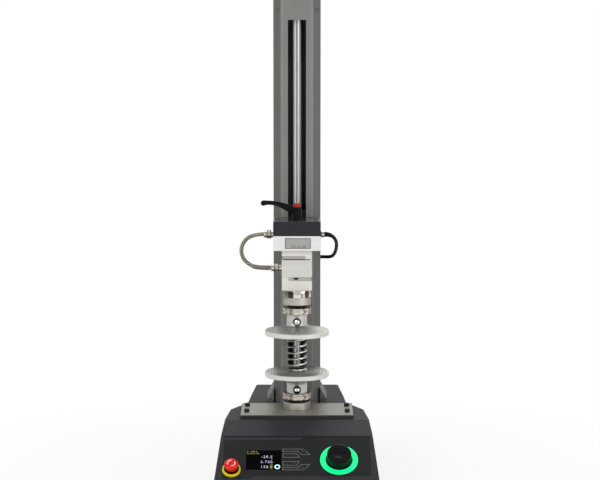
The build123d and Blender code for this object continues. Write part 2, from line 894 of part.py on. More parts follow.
def column_outline(grow=0.0):
    """Section of the column: a rectangle with its two front corners cut at 45 degrees."""
    half = column_width / 2 + grow
    front = column_front_y - grow
    corner = column_chamfer + grow * (2 - 2 ** 0.5)
    right_side = [
        (half - corner, front),
        (half, front + corner),
        (half, column_rear_y + grow),
    ]
    left_side = [(-x, y) for x, y in reversed(right_side)]
    with BuildSketch() as section:
        with BuildLine():
            Polyline(*right_side, *left_side, close=True)
        make_face()
    return section.sketch


corner_normal = Vector(1, -1, 0).normalized()
corner_middle = column_chamfer / 2
top_screw_z = upper_block_z + upper_block_height / 2
top_screw_planes = []
for side in (-1, 1):
    seat = Vector(side * (column_width / 2 - corner_middle), column_front_y + corner_middle, top_screw_z)
    top_screw_planes.append(Plane(seat, x_dir=(0, 0, 1), z_dir=(side * corner_normal.X, corner_normal.Y, 0)))
bracket_screw_planes = []
for side in (-1, 1):
    seat = Vector(
        side * (column_width / 2 + foot_bracket_toe),
        column_front_y + foot_bracket_setback,
        deck_z + foot_bracket_waist_height,
    )
    bracket_screw_planes.append(Plane(seat, x_dir=(0, 0, 1), z_dir=(0, -1, 0)))

# Column: hollow extrusion with a front slot for the arm and a side slot for the lead
with BuildPart() as column:
    with BuildSketch(Plane.XY.offset(deck_z)):
        add(column_outline())
        add(column_outline(-column_wall), mode=Mode.SUBTRACT)
    extrude(amount=column_top_z - deck_z)
    with BuildSketch(Plane(origin=(0, column_front_y, 0), x_dir=(1, 0, 0), z_dir=(0, -1, 0))):
        with Locations((0, (slot_bottom_z + slot_top_z) / 2)):
            Rectangle(slot_width, slot_top_z - slot_bottom_z)
    extrude(amount=-column_wall, mode=Mode.SUBTRACT)
    lead_slot_low = lead_socket_z - lead_slot_width
    lead_slot_high = lead_socket_z + crosshead_travel + lead_slot_width
    with BuildSketch(Plane(origin=(column_width / 2, lead_y, 0), x_dir=(0, 1, 0), z_dir=(1, 0, 0))):
        with Locations((0, (lead_slot_low + lead_slot_high) / 2)):
            SlotOverall(lead_slot_high - lead_slot_low, lead_slot_width, rotation=90)
    extrude(amount=-column_wall, mode=Mode.SUBTRACT)
    for seat in top_screw_planes:
        with BuildSketch(seat):
            Circle(m4_radius)
        extrude(amount=-2 * column_wall, mode=Mode.SUBTRACT)
save(column.part, "column")

# Top cap with a plug into the column
with BuildPart() as column_top_cap:
    with BuildSketch(Plane.XY.offset(column_top_z)):
        add(column_outline())
    extrude(amount=cap_thickness)
    chamfer(column_top_cap.faces().sort_by(Axis.Z)[-1].edges(), length=2 * edge_break)
    with BuildSketch(Plane.XY.offset(column_top_z)):
        add(column_outline(-column_wall - slide_gap))
        add(column_outline(-2 * column_wall), mode=Mode.SUBTRACT)
    extrude(amount=-cap_plug_depth)
save(column_top_cap.part, "column_top_cap")

# Foot brackets, one on each side of the column
with BuildPart() as column_foot_brackets:
    bracket_front_y = column_front_y + foot_bracket_setback
    with BuildSketch(Plane(origin=(0, bracket_front_y, 0), x_dir=(1, 0, 0), z_dir=(0, -1, 0))):
        with BuildLine():
            Polyline(
                (column_width / 2, deck_z),
                (column_width / 2 + foot_bracket_toe, deck_z),
                (column_width / 2 + foot_bracket_reach, deck_z + foot_bracket_waist_height),
                (column_width / 2, deck_z + foot_bracket_height),
                close=True,
            )
        make_face()
        mirror(about=Plane.YZ)
    extrude(amount=-foot_bracket_depth)
    add(column.part, mode=Mode.SUBTRACT)
    with BuildSketch(Plane.XY.offset(deck_z)):
        add(column_outline())
    extrude(amount=foot_bracket_height, mode=Mode.SUBTRACT)
    for seat in bracket_screw_planes:
        with BuildSketch(seat):
            Circle(m4_radius)
        extrude(amount=-m4_reach, mode=Mode.SUBTRACT)
save(column_foot_brackets.part, "column_foot_brackets")


def socket_screw(seat, radius, reach, head_radius, head_height, socket_radius, socket_depth):
    """Cap screw whose head stands on the seat plane and whose shank goes in below it."""
    with BuildPart() as screw:
        with BuildSketch(seat):
            Circle(radius)
        extrude(amount=-reach)
        with BuildSketch(seat):
            Circle(head_radius)
        extrude(amount=head_height)
        with BuildSketch(seat.offset(head_height)):
            RegularPolygon(socket_radius, 6)
        extrude(amount=-socket_depth, mode=Mode.SUBTRACT)
    return screw.part


# All socket head screws that show: four on the bed plate, two at the column head, two on the brackets
screws = []
for place in bed_screw_places.locations:
    seat = Plane((place.position.X, bed_centre_y + place.position.Y, bed_top_z))
    screws.append(
        socket_screw(
            seat,
            m6_radius,
            bed_thickness + bed_screw_reach - edge_break,
            m6_head_radius,
            m6_head_height,
            m6_socket_radius,
            m6_socket_depth,
        )
    )
for seat in top_screw_planes + bracket_screw_planes:
    screws.append(
        socket_screw(
            seat, m4_radius, m4_reach, m4_head_radius, m4_head_height, m4_socket_radius, m4_socket_depth
        )
    )
with BuildPart() as socket_screws:
    for screw in screws:
        add(screw)
save(socket_screws.part, "socket_screws")

# Guide shaft from its socket in the deck up into the head block
with BuildPart() as guide_shaft:
    with BuildSketch(Plane.XY.offset(deck_z - shaft_socket_depth)):
        with Locations((0, shaft_y)):
            Circle(shaft_radius)
    extrude(amount=upper_block_z + upper_block_height - deck_z + shaft_socket_depth - edge_break)
    chamfer(guide_shaft.faces().filter_by(Axis.Z).edges(), length=edge_break)
save(guide_shaft.part, "guide_shaft")

# Head block, holding the shaft and the upper screw bearing inside the column
with BuildPart() as head_block:
    with BuildSketch(Plane.XY.offset(upper_block_z)):
        add(column_outline(-column_wall - running_gap))
        with Locations((0, shaft_y)):
            Circle(shaft_radius + running_gap, mode=Mode.SUBTRACT)
        with Locations((0, screw_y)):
            Circle(screw_radius, mode=Mode.SUBTRACT)
    extrude(amount=upper_block_height)
    with BuildSketch(Plane.XY.offset(upper_block_z + upper_block_height)):
        with Locations((0, screw_y)):
            Circle(upper_bearing_radius)
    extrude(amount=-bearing_width, mode=Mode.SUBTRACT)
    for seat in top_screw_planes:
        with BuildSketch(seat):
            Circle(m4_radius)
        extrude(amount=-m4_reach, mode=Mode.SUBTRACT)
save(head_block.part, "head_block")

drive_plate_top_z = drive_plate_z + drive_plate_thickness
drive_plate_front_y = screw_y - drive_plate_margin
drive_plate_rear_y = motor_y + motor_size / 2 + edge_break
plate_middle_y = (drive_plate_front_y + drive_plate_rear_y) / 2

# Drive plate on four pillars, with the lower bearing seat and the motor pilot hole
with BuildPart() as drive_plate:
    with BuildSketch(Plane.XY.offset(drive_plate_z)):
        with Locations((0, plate_middle_y)):
            RectangleRounded(drive_plate_width, drive_plate_rear_y - drive_plate_front_y, corner_radius)
        with Locations((0, screw_y)):
            Circle(screw_radius, mode=Mode.SUBTRACT)
        with Locations((0, motor_y)):
            Circle(motor_pilot_radius, mode=Mode.SUBTRACT)
    extrude(amount=drive_plate_thickness)
    with BuildSketch(Plane.XY.offset(drive_plate_top_z)):
        with Locations((0, screw_y)):
            Circle(lower_bearing_radius)
    extrude(amount=-bearing_width, mode=Mode.SUBTRACT)
    with BuildSketch(Plane.XY.offset(pan_top_z)):
        with Locations((0, plate_middle_y)):
            with GridLocations(
                drive_plate_width - 2 * drive_pillar_radius,
                drive_plate_rear_y - drive_plate_front_y - 2 * drive_pillar_radius,
                2,
                2,
            ):
                Circle(drive_pillar_radius)
    extrude(amount=drive_plate_z - pan_top_z)
save(drive_plate.part, "drive_plate")

# Ball bearings of the screw, each kept as one ring
with BuildPart() as screw_bearings:
    with BuildSketch(Plane.XY.offset(drive_plate_top_z)):
        with Locations((0, screw_y)):
            Circle(lower_bearing_radius)
            Circle(screw_journal_radius + running_gap, mode=Mode.SUBTRACT)
    extrude(amount=-bearing_width)
    with BuildSketch(Plane.XY.offset(upper_block_z + upper_block_height)):
        with Locations((0, screw_y)):
            Circle(upper_bearing_radius)
            Circle(screw_tail_radius + running_gap, mode=Mode.SUBTRACT)
    extrude(amount=-bearing_width)
save(screw_bearings.part, "screw_bearings")

pulley_top_z = drive_plate_z - pulley_drop
pulley_bottom_z = pulley_top_z - pulley_height


def pulley_radius(teeth):
    """Pitch radius of a timing pulley."""
    return teeth * belt_pitch / (2 * pi)


# Ball screw with a journal at each end
with BuildPart() as ball_screw:
    with BuildSketch(Plane.XY.offset(pulley_bottom_z)):
        with Locations((0, screw_y)):
            Circle(screw_journal_radius)
    extrude(amount=drive_plate_top_z + slide_gap - pulley_bottom_z)
    with BuildSketch(Plane.XY.offset(drive_plate_top_z + slide_gap)):
        with Locations((0, screw_y)):
            Circle(screw_radius)
    extrude(amount=upper_block_z - drive_plate_top_z - 2 * slide_gap)
    with BuildSketch(Plane.XY.offset(upper_block_z - slide_gap)):
        with Locations((0, screw_y)):
            Circle(screw_tail_radius)
    extrude(amount=upper_block_height + slide_gap - edge_break)
save(ball_screw.part, "ball_screw")


def toothed_pulley(centre_y, teeth, bore_radius):
    """Timing pulley with square-cut tooth spaces."""
    radius = pulley_radius(teeth)
    with BuildPart() as pulley:
        with BuildSketch(Plane.XY.offset(pulley_bottom_z)):
            with Locations((0, centre_y)):
                Circle(radius)
                with PolarLocations(radius, teeth):
                    Rectangle(2 * tooth_depth, belt_pitch / 2, mode=Mode.SUBTRACT)
                if bore_radius:
                    Circle(bore_radius, mode=Mode.SUBTRACT)
        extrude(amount=pulley_height)
    return pulley.part


with BuildPart() as screw_pulley:
    add(toothed_pulley(screw_y, screw_pulley_teeth, screw_journal_radius))
save(screw_pulley.part, "screw_pulley")

# Motor pulley in one with the rotor shaft that carries it
with BuildPart() as motor_pulley:
    add(toothed_pulley(motor_y, motor_pulley_teeth, 0.0))
    with BuildSketch(Plane.XY.offset(pulley_top_z)):
        with Locations((0, motor_y)):
            Circle(motor_shaft_radius)
    extrude(amount=drive_plate_top_z + motor_height / 3 - pulley_top_z - edge_break)
save(motor_pulley.part, "motor_pulley")

# Timing belt around both pulleys
with BuildPart() as drive_belt:
    with BuildSketch(Plane.XY.offset(pulley_bottom_z + (pulley_height - belt_width) / 2)) as loop:
        with Locations((0, screw_y)):
            Circle(pulley_radius(screw_pulley_teeth) + slide_gap + belt_thickness)
        with Locations((0, motor_y)):
            Circle(pulley_radius(motor_pulley_teeth) + slide_gap + belt_thickness)
        make_hull()
        offset(amount=-belt_thickness, mode=Mode.SUBTRACT)
    extrude(amount=belt_width)
save(drive_belt.part, "drive_belt")

# Drive motor standing on the drive plate, its pilot in the plate's hole
with BuildPart() as drive_motor:
    with BuildSketch(Plane.XY.offset(drive_plate_top_z)):
        with Locations((0, motor_y)):
            Rectangle(motor_size, motor_size)
    extrude(amount=motor_height)
    chamfer(drive_motor.edges().filter_by(Axis.Z), length=motor_corner)
    with BuildSketch(Plane.XY.offset(drive_plate_z)):
        with Locations((0, motor_y)):
            Circle(motor_pilot_radius)
    extrude(amount=drive_plate_thickness)
    with BuildSketch(Plane.XY.offset(drive_plate_z)):
        with Locations((0, motor_y)):
            Circle(motor_shaft_radius + running_gap)
    extrude(amount=drive_plate_thickness + motor_height / 3, mode=Mode.SUBTRACT)
save(drive_motor.part, "drive_motor")

# Power supply in its case on the pan
with BuildPart() as power_supply:
    with BuildSketch(Plane.XY.offset(pan_top_z)):
        with Locations((supply_x, supply_y)):
            Rectangle(supply_width, supply_length)
    extrude(amount=supply_height)
    fillet(power_supply.edges().filter_by(Axis.Z), radius=edge_break)
    with BuildSketch(Plane.XY.offset(pan_top_z + supply_height)):
        with Locations((supply_x, supply_y)):
            with GridLocations(vent_pitch, 0, vent_count, 1):
                SlotOverall(vent_length, vent_width, rotation=90)
    extrude(amount=-pan_thickness, mode=Mode.SUBTRACT)
save(power_supply.part, "power_supply")

# Mains inlet at the back, with three blades and the switch's pivot pin
rocker_plane = Plane(inlet_plane.from_local_coords((0, rocker_rise, 0)), inlet_plane.x_dir, inlet_plane.z_dir)
socket_plane = Plane(
    inlet_plane.from_local_coords((0, -inlet_socket_drop, 0)), inlet_plane.x_dir, inlet_plane.z_dir
)
rocker_pin_depth = rocker_height / 2
with BuildPart() as mains_inlet:
    with BuildSketch(inlet_plane):
        Rectangle(inlet_width - slide_gap, inlet_height - slide_gap)
    extrude(amount=-inlet_depth)
    with BuildSketch(inlet_plane.offset(inlet_recess - wall)):
        Rectangle(inlet_width + 2 * inlet_lip, inlet_height + 2 * inlet_lip)
    extrude(amount=-inlet_flange)
    with BuildSketch(socket_plane):
        RectangleRounded(inlet_socket_width, inlet_socket_height, 2 * edge_break)
    extrude(amount=inlet_flange - inlet_depth, mode=Mode.SUBTRACT)
    with BuildSketch(rocker_plane):
        Rectangle(rocker_width, rocker_height)
    extrude(amount=-rocker_height, mode=Mode.SUBTRACT)
    with BuildSketch(socket_plane.offset(inlet_flange - inlet_depth)):
        with Locations((-blade_pitch, 0), (0, blade_height / 2), (blade_pitch, 0)):
            Rectangle(blade_thickness, blade_height)
    extrude(amount=inlet_depth / 2)
    pin_end = rocker_plane.origin - Vector(rocker_width / 2, rocker_pin_depth, 0)
    with BuildSketch(Plane(pin_end, z_dir=(1, 0, 0))):
        Circle(rocker_pin_radius)
    extrude(amount=rocker_width)
save(mains_inlet.part, "mains_inlet")

# Rocker of the power switch, resting with one end pressed in
with BuildPart() as power_switch:
    rocker_pin = rocker_plane.origin - Vector(0, rocker_pin_depth, 0)
    tilt = radians(rocker_tilt)
    tilted = Plane(rocker_pin, x_dir=(0, cos(tilt), sin(tilt)), z_dir=(1, 0, 0))
    with BuildSketch(tilted):
        with BuildLine():
            Polyline(
                (rocker_face, rocker_half),
                (rocker_face - rocker_waist, 0),
                (rocker_face, -rocker_half),
                (0, -rocker_half),
                (0, rocker_half),
                close=True,
            )
        make_face()
        Circle(rocker_hub)
        Circle(rocker_pin_radius + running_gap, mode=Mode.SUBTRACT)
    extrude(amount=rocker_width / 2 - slide_gap, both=True)
save(power_switch.part, "power_switch")

# Data sockets beside the inlet
with BuildPart() as data_sockets:
    with BuildSketch(data_plane):
        Rectangle(data_width - slide_gap, data_height - slide_gap)
    extrude(amount=-data_depth)
    with BuildSketch(data_plane.offset(inlet_recess - wall)):
        Rectangle(data_width + 2 * inlet_lip, data_height + 2 * inlet_lip)
    extrude(amount=-inlet_flange)
    with BuildSketch(data_plane):
        with GridLocations(data_socket_pitch, 0, 2, 1):
            Rectangle(data_socket_width, data_socket_height)
    extrude(amount=-data_socket_depth, mode=Mode.SUBTRACT)
save(data_sockets.part, "data_sockets")

lower_pin_z = lower_face_z - lower_pin_rise
upper_pin_z = upper_face_z + upper_pin_rise


def pin_plane(z):
    """Plane square to a coupling pin, through the load axis and facing the front."""
    return Plane(origin=(0, load_y, z), x_dir=(1, 0, 0), z_dir=(0, -1, 0))


def turned(points):
    """Solid of revolution about the load axis from (radius, height) points."""
    with BuildPart() as solid:
        with BuildSketch(load_plane):
            with BuildLine():
                Polyline(*points, close=True)
            make_face()
        revolve(axis=load_axis)
    return solid.part


# Lower adapter: disc on the bed plate, stud below, thread and spigot above
with BuildPart() as lower_adapter:
    add(
        turned(
            [
                (0, deck_z - wall),
                (centre_stud_radius - running_gap, deck_z - wall),
                (centre_stud_radius - running_gap, bed_top_z),
                (coupling_radius - edge_break, bed_top_z),
                (coupling_radius, bed_top_z + edge_break),
                (coupling_radius, lower_disc_top_z - edge_break),
                (coupling_radius - edge_break, lower_disc_top_z),
                (thread_radius, lower_disc_top_z),
                (thread_radius, lower_hub_z),
                (spigot_radius, lower_hub_z),
                (spigot_radius, lower_hub_z + spigot_length - edge_break),
                (0, lower_hub_z + spigot_length - edge_break),
            ]
        )
    )
    with BuildSketch(pin_plane(lower_pin_z)):
        Circle(pin_radius + running_gap)
    extrude(amount=thread_radius, both=True, mode=Mode.SUBTRACT)
save(lower_adapter.part, "lower_adapter")

# Upper adapter: stud into the load cell, grooved disc, thread and spigot
with BuildPart() as upper_adapter:
    groove_z = upper_ring_z + upper_ring_height
    add(
        turned(
            [
                (0, cell_z + cell_stud_length - edge_break),
                (cell_stud_radius, cell_z + cell_stud_length - edge_break),
                (cell_stud_radius, cell_z),
                (coupling_radius - edge_break, cell_z),
                (coupling_radius, cell_z - edge_break),
                (coupling_radius, groove_z + groove_width / 2),
                (coupling_radius - groove_depth, groove_z + groove_width / 2),
                (coupling_radius - groove_depth, groove_z - groove_width / 2),
                (coupling_radius, groove_z - groove_width / 2),
                (coupling_radius, upper_ring_z + edge_break),
                (coupling_radius - edge_break, upper_ring_z),
                (thread_radius, upper_ring_z),
                (thread_radius, upper_hub_z),
                (spigot_radius, upper_hub_z),
                (spigot_radius, upper_hub_z - spigot_length + edge_break),
                (0, upper_hub_z - spigot_length + edge_break),
            ]
        )
    )
    with BuildSketch(pin_plane(upper_pin_z)):
        Circle(pin_radius + running_gap)
    extrude(amount=thread_radius, both=True, mode=Mode.SUBTRACT)
save(upper_adapter.part, "upper_adapter")


def platen(face_z, side, pin_z):
    """Compression platen: working face, rim, cone and a bored hub on the given side of the face."""
    with BuildPart() as plate:
        add(
            turned(
                [
                    (0, face_z),
                    (platen_radius - edge_break, face_z),
                    (platen_radius, face_z + side * edge_break),
                    (platen_radius, face_z + side * (platen_rim - edge_break)),
                    (platen_radius - edge_break, face_z + side * platen_rim),
                    (platen_cone_radius, face_z + side * platen_cone_height),
                    (hub_radius, face_z + side * platen_cone_height),
                    (hub_radius, face_z + side * (platen_height - edge_break)),
                    (hub_radius - edge_break, face_z + side * platen_height),
                    (spigot_radius + running_gap, face_z + side * platen_height),
                    (spigot_radius + running_gap, face_z + side * (platen_height - spigot_length)),
                    (0, face_z + side * (platen_height - spigot_length)),
                ]
            )
        )
        with BuildSketch(pin_plane(pin_z)):
            Circle(pin_radius + running_gap)
        extrude(amount=platen_cone_radius, both=True, mode=Mode.SUBTRACT)
    return plate.part


with BuildPart() as lower_platen:
    add(platen(lower_face_z, -1, lower_pin_z))
save(lower_platen.part, "lower_platen")

with BuildPart() as upper_platen:
    add(platen(upper_face_z, 1, upper_pin_z))
save(upper_platen.part, "upper_platen")


def lock_collar(bottom_z):
    """Lock collar with radial holes for a tommy bar."""
    with BuildPart() as collar:
        add(
            turned(
                [
                    (thread_radius + running_gap, bottom_z),
                    (coupling_radius - edge_break, bottom_z),
                    (coupling_radius, bottom_z + edge_break),
                    (coupling_radius, bottom_z + collar_height - edge_break),
                    (coupling_radius - edge_break, bottom_z + collar_height),
                    (thread_radius + running_gap, bottom_z + collar_height),
                ]
            )
        )
        for turn in range(tommy_count):
            bearing = radians(tommy_turn + turn * full_turn / tommy_count)
            outward = Vector(cos(bearing), sin(bearing), 0)
            mouth = Vector(0, load_y, bottom_z + collar_height / 2) + outward * coupling_radius
            with BuildSketch(Plane(mouth, x_dir=(0, 0, 1), z_dir=outward)):
                Circle(tommy_radius)
            extrude(amount=-tommy_depth, mode=Mode.SUBTRACT)
    return collar.part


with BuildPart() as lower_lock_collar:
    add(lock_collar(lower_collar_z))
save(lower_lock_collar.part, "lower_lock_collar")

with BuildPart() as upper_lock_collar:
    add(lock_collar(upper_collar_z))
save(upper_lock_collar.part, "upper_lock_collar")


def coupling_pin(pin_z):
    """Coupling pin through a hub, with a ball to pull it by in front."""
    ball_y = load_y - hub_radius - pin_ball_radius - slide_gap
    with BuildPart() as pin:
        with BuildSketch(pin_plane(pin_z).offset(-hub_radius - pin_tail)):
            Circle(pin_radius)
        extrude(amount=2 * hub_radius + pin_tail + pin_ball_radius)
        chamfer(pin.faces().sort_by(Axis.Y)[-1].edges(), length=edge_break / 2)
        with Locations((0, ball_y, pin_z)):
            Sphere(pin_ball_radius)
    return pin.part


with BuildPart() as lower_coupling_pin:
    add(coupling_pin(lower_pin_z))
save(lower_coupling_pin.part, "lower_coupling_pin")

with BuildPart() as upper_coupling_pin:
    add(coupling_pin(upper_pin_z))
save(upper_coupling_pin.part, "upper_coupling_pin")

# Test spring: round wire wound on a helix whose end coils lie closed
coil_radius = spring_outer_radius - wire_radius
closed_pitch = 2 * wire_radius + running_gap
coil_rise = spring_length - 2 * wire_radius - closed_coils * closed_pitch
open_coils = coil_rise / spring_pitch
steps_per_coil = 12
coil_points = []
step_count = round((open_coils + closed_coils) * steps_per_coil)
for step in range(step_count + 1):
    coils = step * (open_coils + closed_coils) / step_count
    opened = min(max(coils - closed_coils / 2, 0), open_coils)
    closed = coils - opened
    angle = 2 * pi * coils
    coil_points.append(
        (
            coil_radius * cos(angle),
            load_y + coil_radius * sin(angle),
            lower_face_z + wire_radius + closed * closed_pitch + opened * spring_pitch,
        )
    )
with BuildPart() as test_spring:
    with BuildLine() as coil:
        Spline(*coil_points)
    with BuildSketch(Plane(coil.line @ 0, z_dir=coil.line % 0)):
        Circle(wire_radius)
    sweep(path=coil.line, is_frenet=True)
save(test_spring.part, "test_spring")

carriage_front_y = column_front_y + column_wall + carriage_front_gap
carriage_rear_y = column_rear_y - column_wall - carriage_rear_gap
carriage_middle_y = (carriage_front_y + carriage_rear_y) / 2

# Carriage: the block inside the column that carries the arm
with BuildPart() as carriage:
    with BuildSketch(Plane.XY.offset(carriage_z)):
        with Locations((0, carriage_middle_y)):
            Rectangle(carriage_width, carriage_rear_y - carriage_front_y)
    extrude(amount=carriage_height)
    chamfer(carriage.edges().filter_by(Axis.Z).group_by(Axis.Y)[0], length=carriage_chamfer)
    with BuildSketch(Plane.XY.offset(carriage_z)):
        with Locations((0, shaft_y)):
            Circle((shaft_radius + bush_radius) / 2)
        with Locations((0, screw_y)):
            Circle(screw_radius + 2 * edge_break)
    extrude(amount=carriage_height, mode=Mode.SUBTRACT)
    with BuildSketch(Plane.XY.offset(carriage_z)):
        with Locations((0, screw_y)):
            Circle(nut_radius)
    extrude(amount=nut_length, mode=Mode.SUBTRACT)
    for end_z, inward in ((carriage_z, 1), (carriage_top_z, -1)):
        with BuildSketch(Plane.XY.offset(end_z)):
            with Locations((0, shaft_y)):
                Circle(bush_radius)
        extrude(amount=inward * (bush_inset + bush_length), mode=Mode.SUBTRACT)
save(carriage.part, "carriage")

# Guide bushes, one in each end of the carriage
with BuildPart() as guide_bushes:
    for bush_z in (carriage_z + bush_inset, carriage_top_z - bush_inset - bush_length):
        with BuildSketch(Plane.XY.offset(bush_z)):
            with Locations((0, shaft_y)):
                Circle(bush_radius)
                Circle(shaft_radius + running_gap, mode=Mode.SUBTRACT)
        extrude(amount=bush_length)
save(guide_bushes.part, "guide_bushes")

# Ball nut, flanged under the carriage
with BuildPart() as ball_nut:
    with BuildSketch(Plane.XY.offset(carriage_z)):
        with Locations((0, screw_y)):
            Circle(nut_radius)
    extrude(amount=nut_length)
    with BuildSketch(Plane.XY.offset(carriage_z)):
        with Locations((0, screw_y)):
            Circle(nut_flange_radius)
    extrude(amount=-nut_flange_height)
    with BuildSketch(Plane.XY.offset(carriage_z - nut_flange_height)):
        with Locations((0, screw_y)):
            Circle(screw_radius + running_gap)
    extrude(amount=nut_flange_height + nut_length, mode=Mode.SUBTRACT)
save(ball_nut.part, "ball_nut")

# Crosshead arm through the column slot, with the stud that holds the load cell
arm_front_y = load_y - arm_front_from_load_axis
with BuildPart() as crosshead_arm:
    with BuildSketch(Plane.XY.offset(arm_z)):
        with Locations((0, (arm_front_y + carriage_front_y) / 2)):
            Rectangle(arm_width, carriage_front_y - arm_front_y)
    extrude(amount=arm_height)
    fillet(crosshead_arm.edges().filter_by(Axis.Y), radius=2 * edge_break)
    with BuildSketch(Plane.XY.offset(arm_z)):
        with Locations((0, load_y)):
            Circle(cell_stud_radius)
    extrude(amount=-cell_stud_length + edge_break)
    with BuildSketch(Plane.XY.offset(arm_z + arm_height)):
        with Locations((0, lever_y)):
            Circle(lever_stud_radius + running_gap)
    extrude(amount=-lever_stud_engagement - edge_break, mode=Mode.SUBTRACT)
save(crosshead_arm.part, "crosshead_arm")

module_front_y = load_y - module_front_from_load_axis
module_rear_y = load_y + module_rear_from_load_axis
module_front = Plane(origin=(0, module_front_y, 0), x_dir=(1, 0, 0), z_dir=(0, -1, 0))


def module_shell():
    """Hollow box of the electronics module before it is parted into housing and cap."""
    with BuildPart() as shell:
        with BuildSketch(module_front):
            with Locations((0, module_z + module_height / 2)):
                RectangleRounded(module_width, module_height, module_corner)
        extrude(amount=module_front_y - module_rear_y)
        chamfer(shell.faces().sort_by(Axis.Y)[0].edges(), length=edge_break)
        with BuildSketch(module_front.offset(-module_wall)):
            with Locations((0, module_z + module_height / 2)):
                RectangleRounded(
                    module_width - 2 * module_wall,
                    module_height - 2 * module_wall,
                    module_corner - module_wall,
                )
        extrude(amount=module_front_y - module_rear_y + 2 * module_wall, mode=Mode.SUBTRACT)
    return shell.part


# Electronics housing around the arm, open below for the load cell and behind for the arm
with BuildPart() as module_housing:
    add(module_shell())
    split(bisect_by=Plane.XY.offset(split_z), keep=Keep.BOTTOM)
    with BuildSketch(Plane.XY.offset(module_z)):
        with Locations((0, load_y)):
            Rectangle(cell_width + 2 * slide_gap, cell_thickness + 2 * slide_gap)
    extrude(amount=module_wall, mode=Mode.SUBTRACT)
    with BuildSketch(module_front.offset(module_front_y - module_rear_y)):
        with Locations((0, arm_z + arm_height / 2)):
            Rectangle(arm_width + 2 * slide_gap, arm_height + 2 * slide_gap)
    extrude(amount=module_wall, mode=Mode.SUBTRACT)
    with BuildSketch(module_front):
        with Locations((window_x, module_z + window_rise + window_height / 2)):
            RectangleRounded(window_width, window_height, edge_break)
    extrude(amount=-window_depth, mode=Mode.SUBTRACT)
save(module_housing.part, "module_housing")

# Cap of the module, with a hole for the stud of the clamp lever
with BuildPart() as module_cap:
    add(module_shell())
    split(bisect_by=Plane.XY.offset(split_z), keep=Keep.TOP)
    with BuildSketch(module_front.offset(module_front_y - module_rear_y)):
        with Locations((0, arm_z + arm_height / 2)):
            Rectangle(arm_width + 2 * slide_gap, arm_height + 2 * slide_gap)
    extrude(amount=module_wall, mode=Mode.SUBTRACT)
    with BuildSketch(Plane.XY.offset(module_top_z)):
        with Locations((0, lever_y)):
            Circle(lever_stud_radius + slide_gap)
    extrude(amount=-module_wall, mode=Mode.SUBTRACT)
save(module_cap.part, "module_cap")

# Window in the front of the housing
with BuildPart() as module_window:
    with BuildSketch(module_front):
        with Locations((window_x, module_z + window_rise + window_height / 2)):
            RectangleRounded(window_width, window_height, edge_break)
    extrude(amount=-window_depth)
save(module_window.part, "module_window")


def cell_slot(side, inset=0.0):
    """Slot of the S-beam, open on the given side. The upper one opens left, the lower one right."""
    if side < 0:
        slot_z = cell_z + cell_height - cell_bar - cell_slot_height / 2
    else:
        slot_z = cell_z + cell_bar + cell_slot_height / 2
    tip = cell_slot_stop - cell_slot_height / 2
    reach = cell_width / 2 - inset
    with BuildSketch() as slot:
        with Locations((side * (reach - tip) / 2, slot_z)):
            Rectangle(reach + tip, cell_slot_height)
        with Locations((-side * tip, slot_z)):
            Circle(cell_slot_height / 2)
    return slot.sketch


# Load cell: an S-shaped beam with a threaded bore at each end
with BuildPart() as load_cell_body:
    with BuildSketch(load_plane):
        with Locations((0, cell_z + cell_height / 2)):
            RectangleRounded(cell_width, cell_height, cell_corner)
        add(cell_slot(-1), mode=Mode.SUBTRACT)
        add(cell_slot(1), mode=Mode.SUBTRACT)
    extrude(amount=cell_thickness / 2, both=True)
    with BuildSketch(Plane.XY.offset(cell_z)):
        with Locations((0, load_y)):
            Circle(cell_stud_radius + running_gap)
    extrude(amount=cell_stud_length, mode=Mode.SUBTRACT)
    with BuildSketch(Plane.XY.offset(arm_z)):
        with Locations((0, load_y)):
            Circle(cell_stud_radius + running_gap)
    extrude(amount=-cell_stud_length, mode=Mode.SUBTRACT)
save(load_cell_body.part, "load_cell_body")

# Cover plates on the middle of the cell and seals set back in its slots
with BuildPart() as load_cell_cover:
    cell_front = load_plane.offset(cell_thickness / 2)
    cell_rear = load_plane.offset(-cell_thickness / 2 - cell_cover_thickness)
    with BuildSketch(cell_front, cell_rear):
        with Locations((0, cell_z + cell_height / 2)):
            RectangleRounded(cell_cover_width, cell_cover_height, edge_break)
    extrude(amount=cell_cover_thickness)
    for side in (-1, 1):
        with BuildSketch(load_plane):
            add(cell_slot(side, cell_seal_setback))
        extrude(amount=cell_thickness / 2 - cell_seal_setback, both=True)
    for side in (-1, 1):
        with BuildSketch(load_plane):
            add(cell_slot(side, cell_seal_setback + cell_seal_thickness))
        extrude(
            amount=cell_thickness / 2 - cell_seal_setback - cell_seal_thickness,
            both=True,
            mode=Mode.SUBTRACT,
        )
save(load_cell_cover.part, "load_cell_cover")


def gland(wall_x, z, length):
    """Cable gland standing out to the left from a wall: body, hexagon nut and rounded end."""
    base = Plane(origin=(wall_x, load_y, z), x_dir=(0, 1, 0), z_dir=(-1, 0, 0))
    body_length = length - gland_nut_length - gland_dome_length
    with BuildPart() as fitting:
        with BuildSketch(base):
            Circle(gland_body_radius)
        extrude(amount=body_length)
        with BuildSketch(base.offset(body_length)):
            RegularPolygon(gland_across / 2, 6, major_radius=False)
        extrude(amount=gland_nut_length)
        with BuildSketch(base.offset(body_length + gland_nut_length)):
            Circle(gland_dome_radius)
        extrude(amount=gland_dome_length)
        fillet(fitting.faces().sort_by(Axis.X)[0].edges(), radius=2 * edge_break)
        with BuildSketch(base.offset(length)):
            Circle(conduit_diameter / 2)
        extrude(amount=-cord_grip, mode=Mode.SUBTRACT)
    return fitting.part


with BuildPart() as conduit_glands:
    add(gland(-module_width / 2, upper_gland_z, upper_gland_length))
    add(gland(-cell_width / 2, lower_gland_z, lower_gland_length))
save(conduit_glands.part, "conduit_glands")


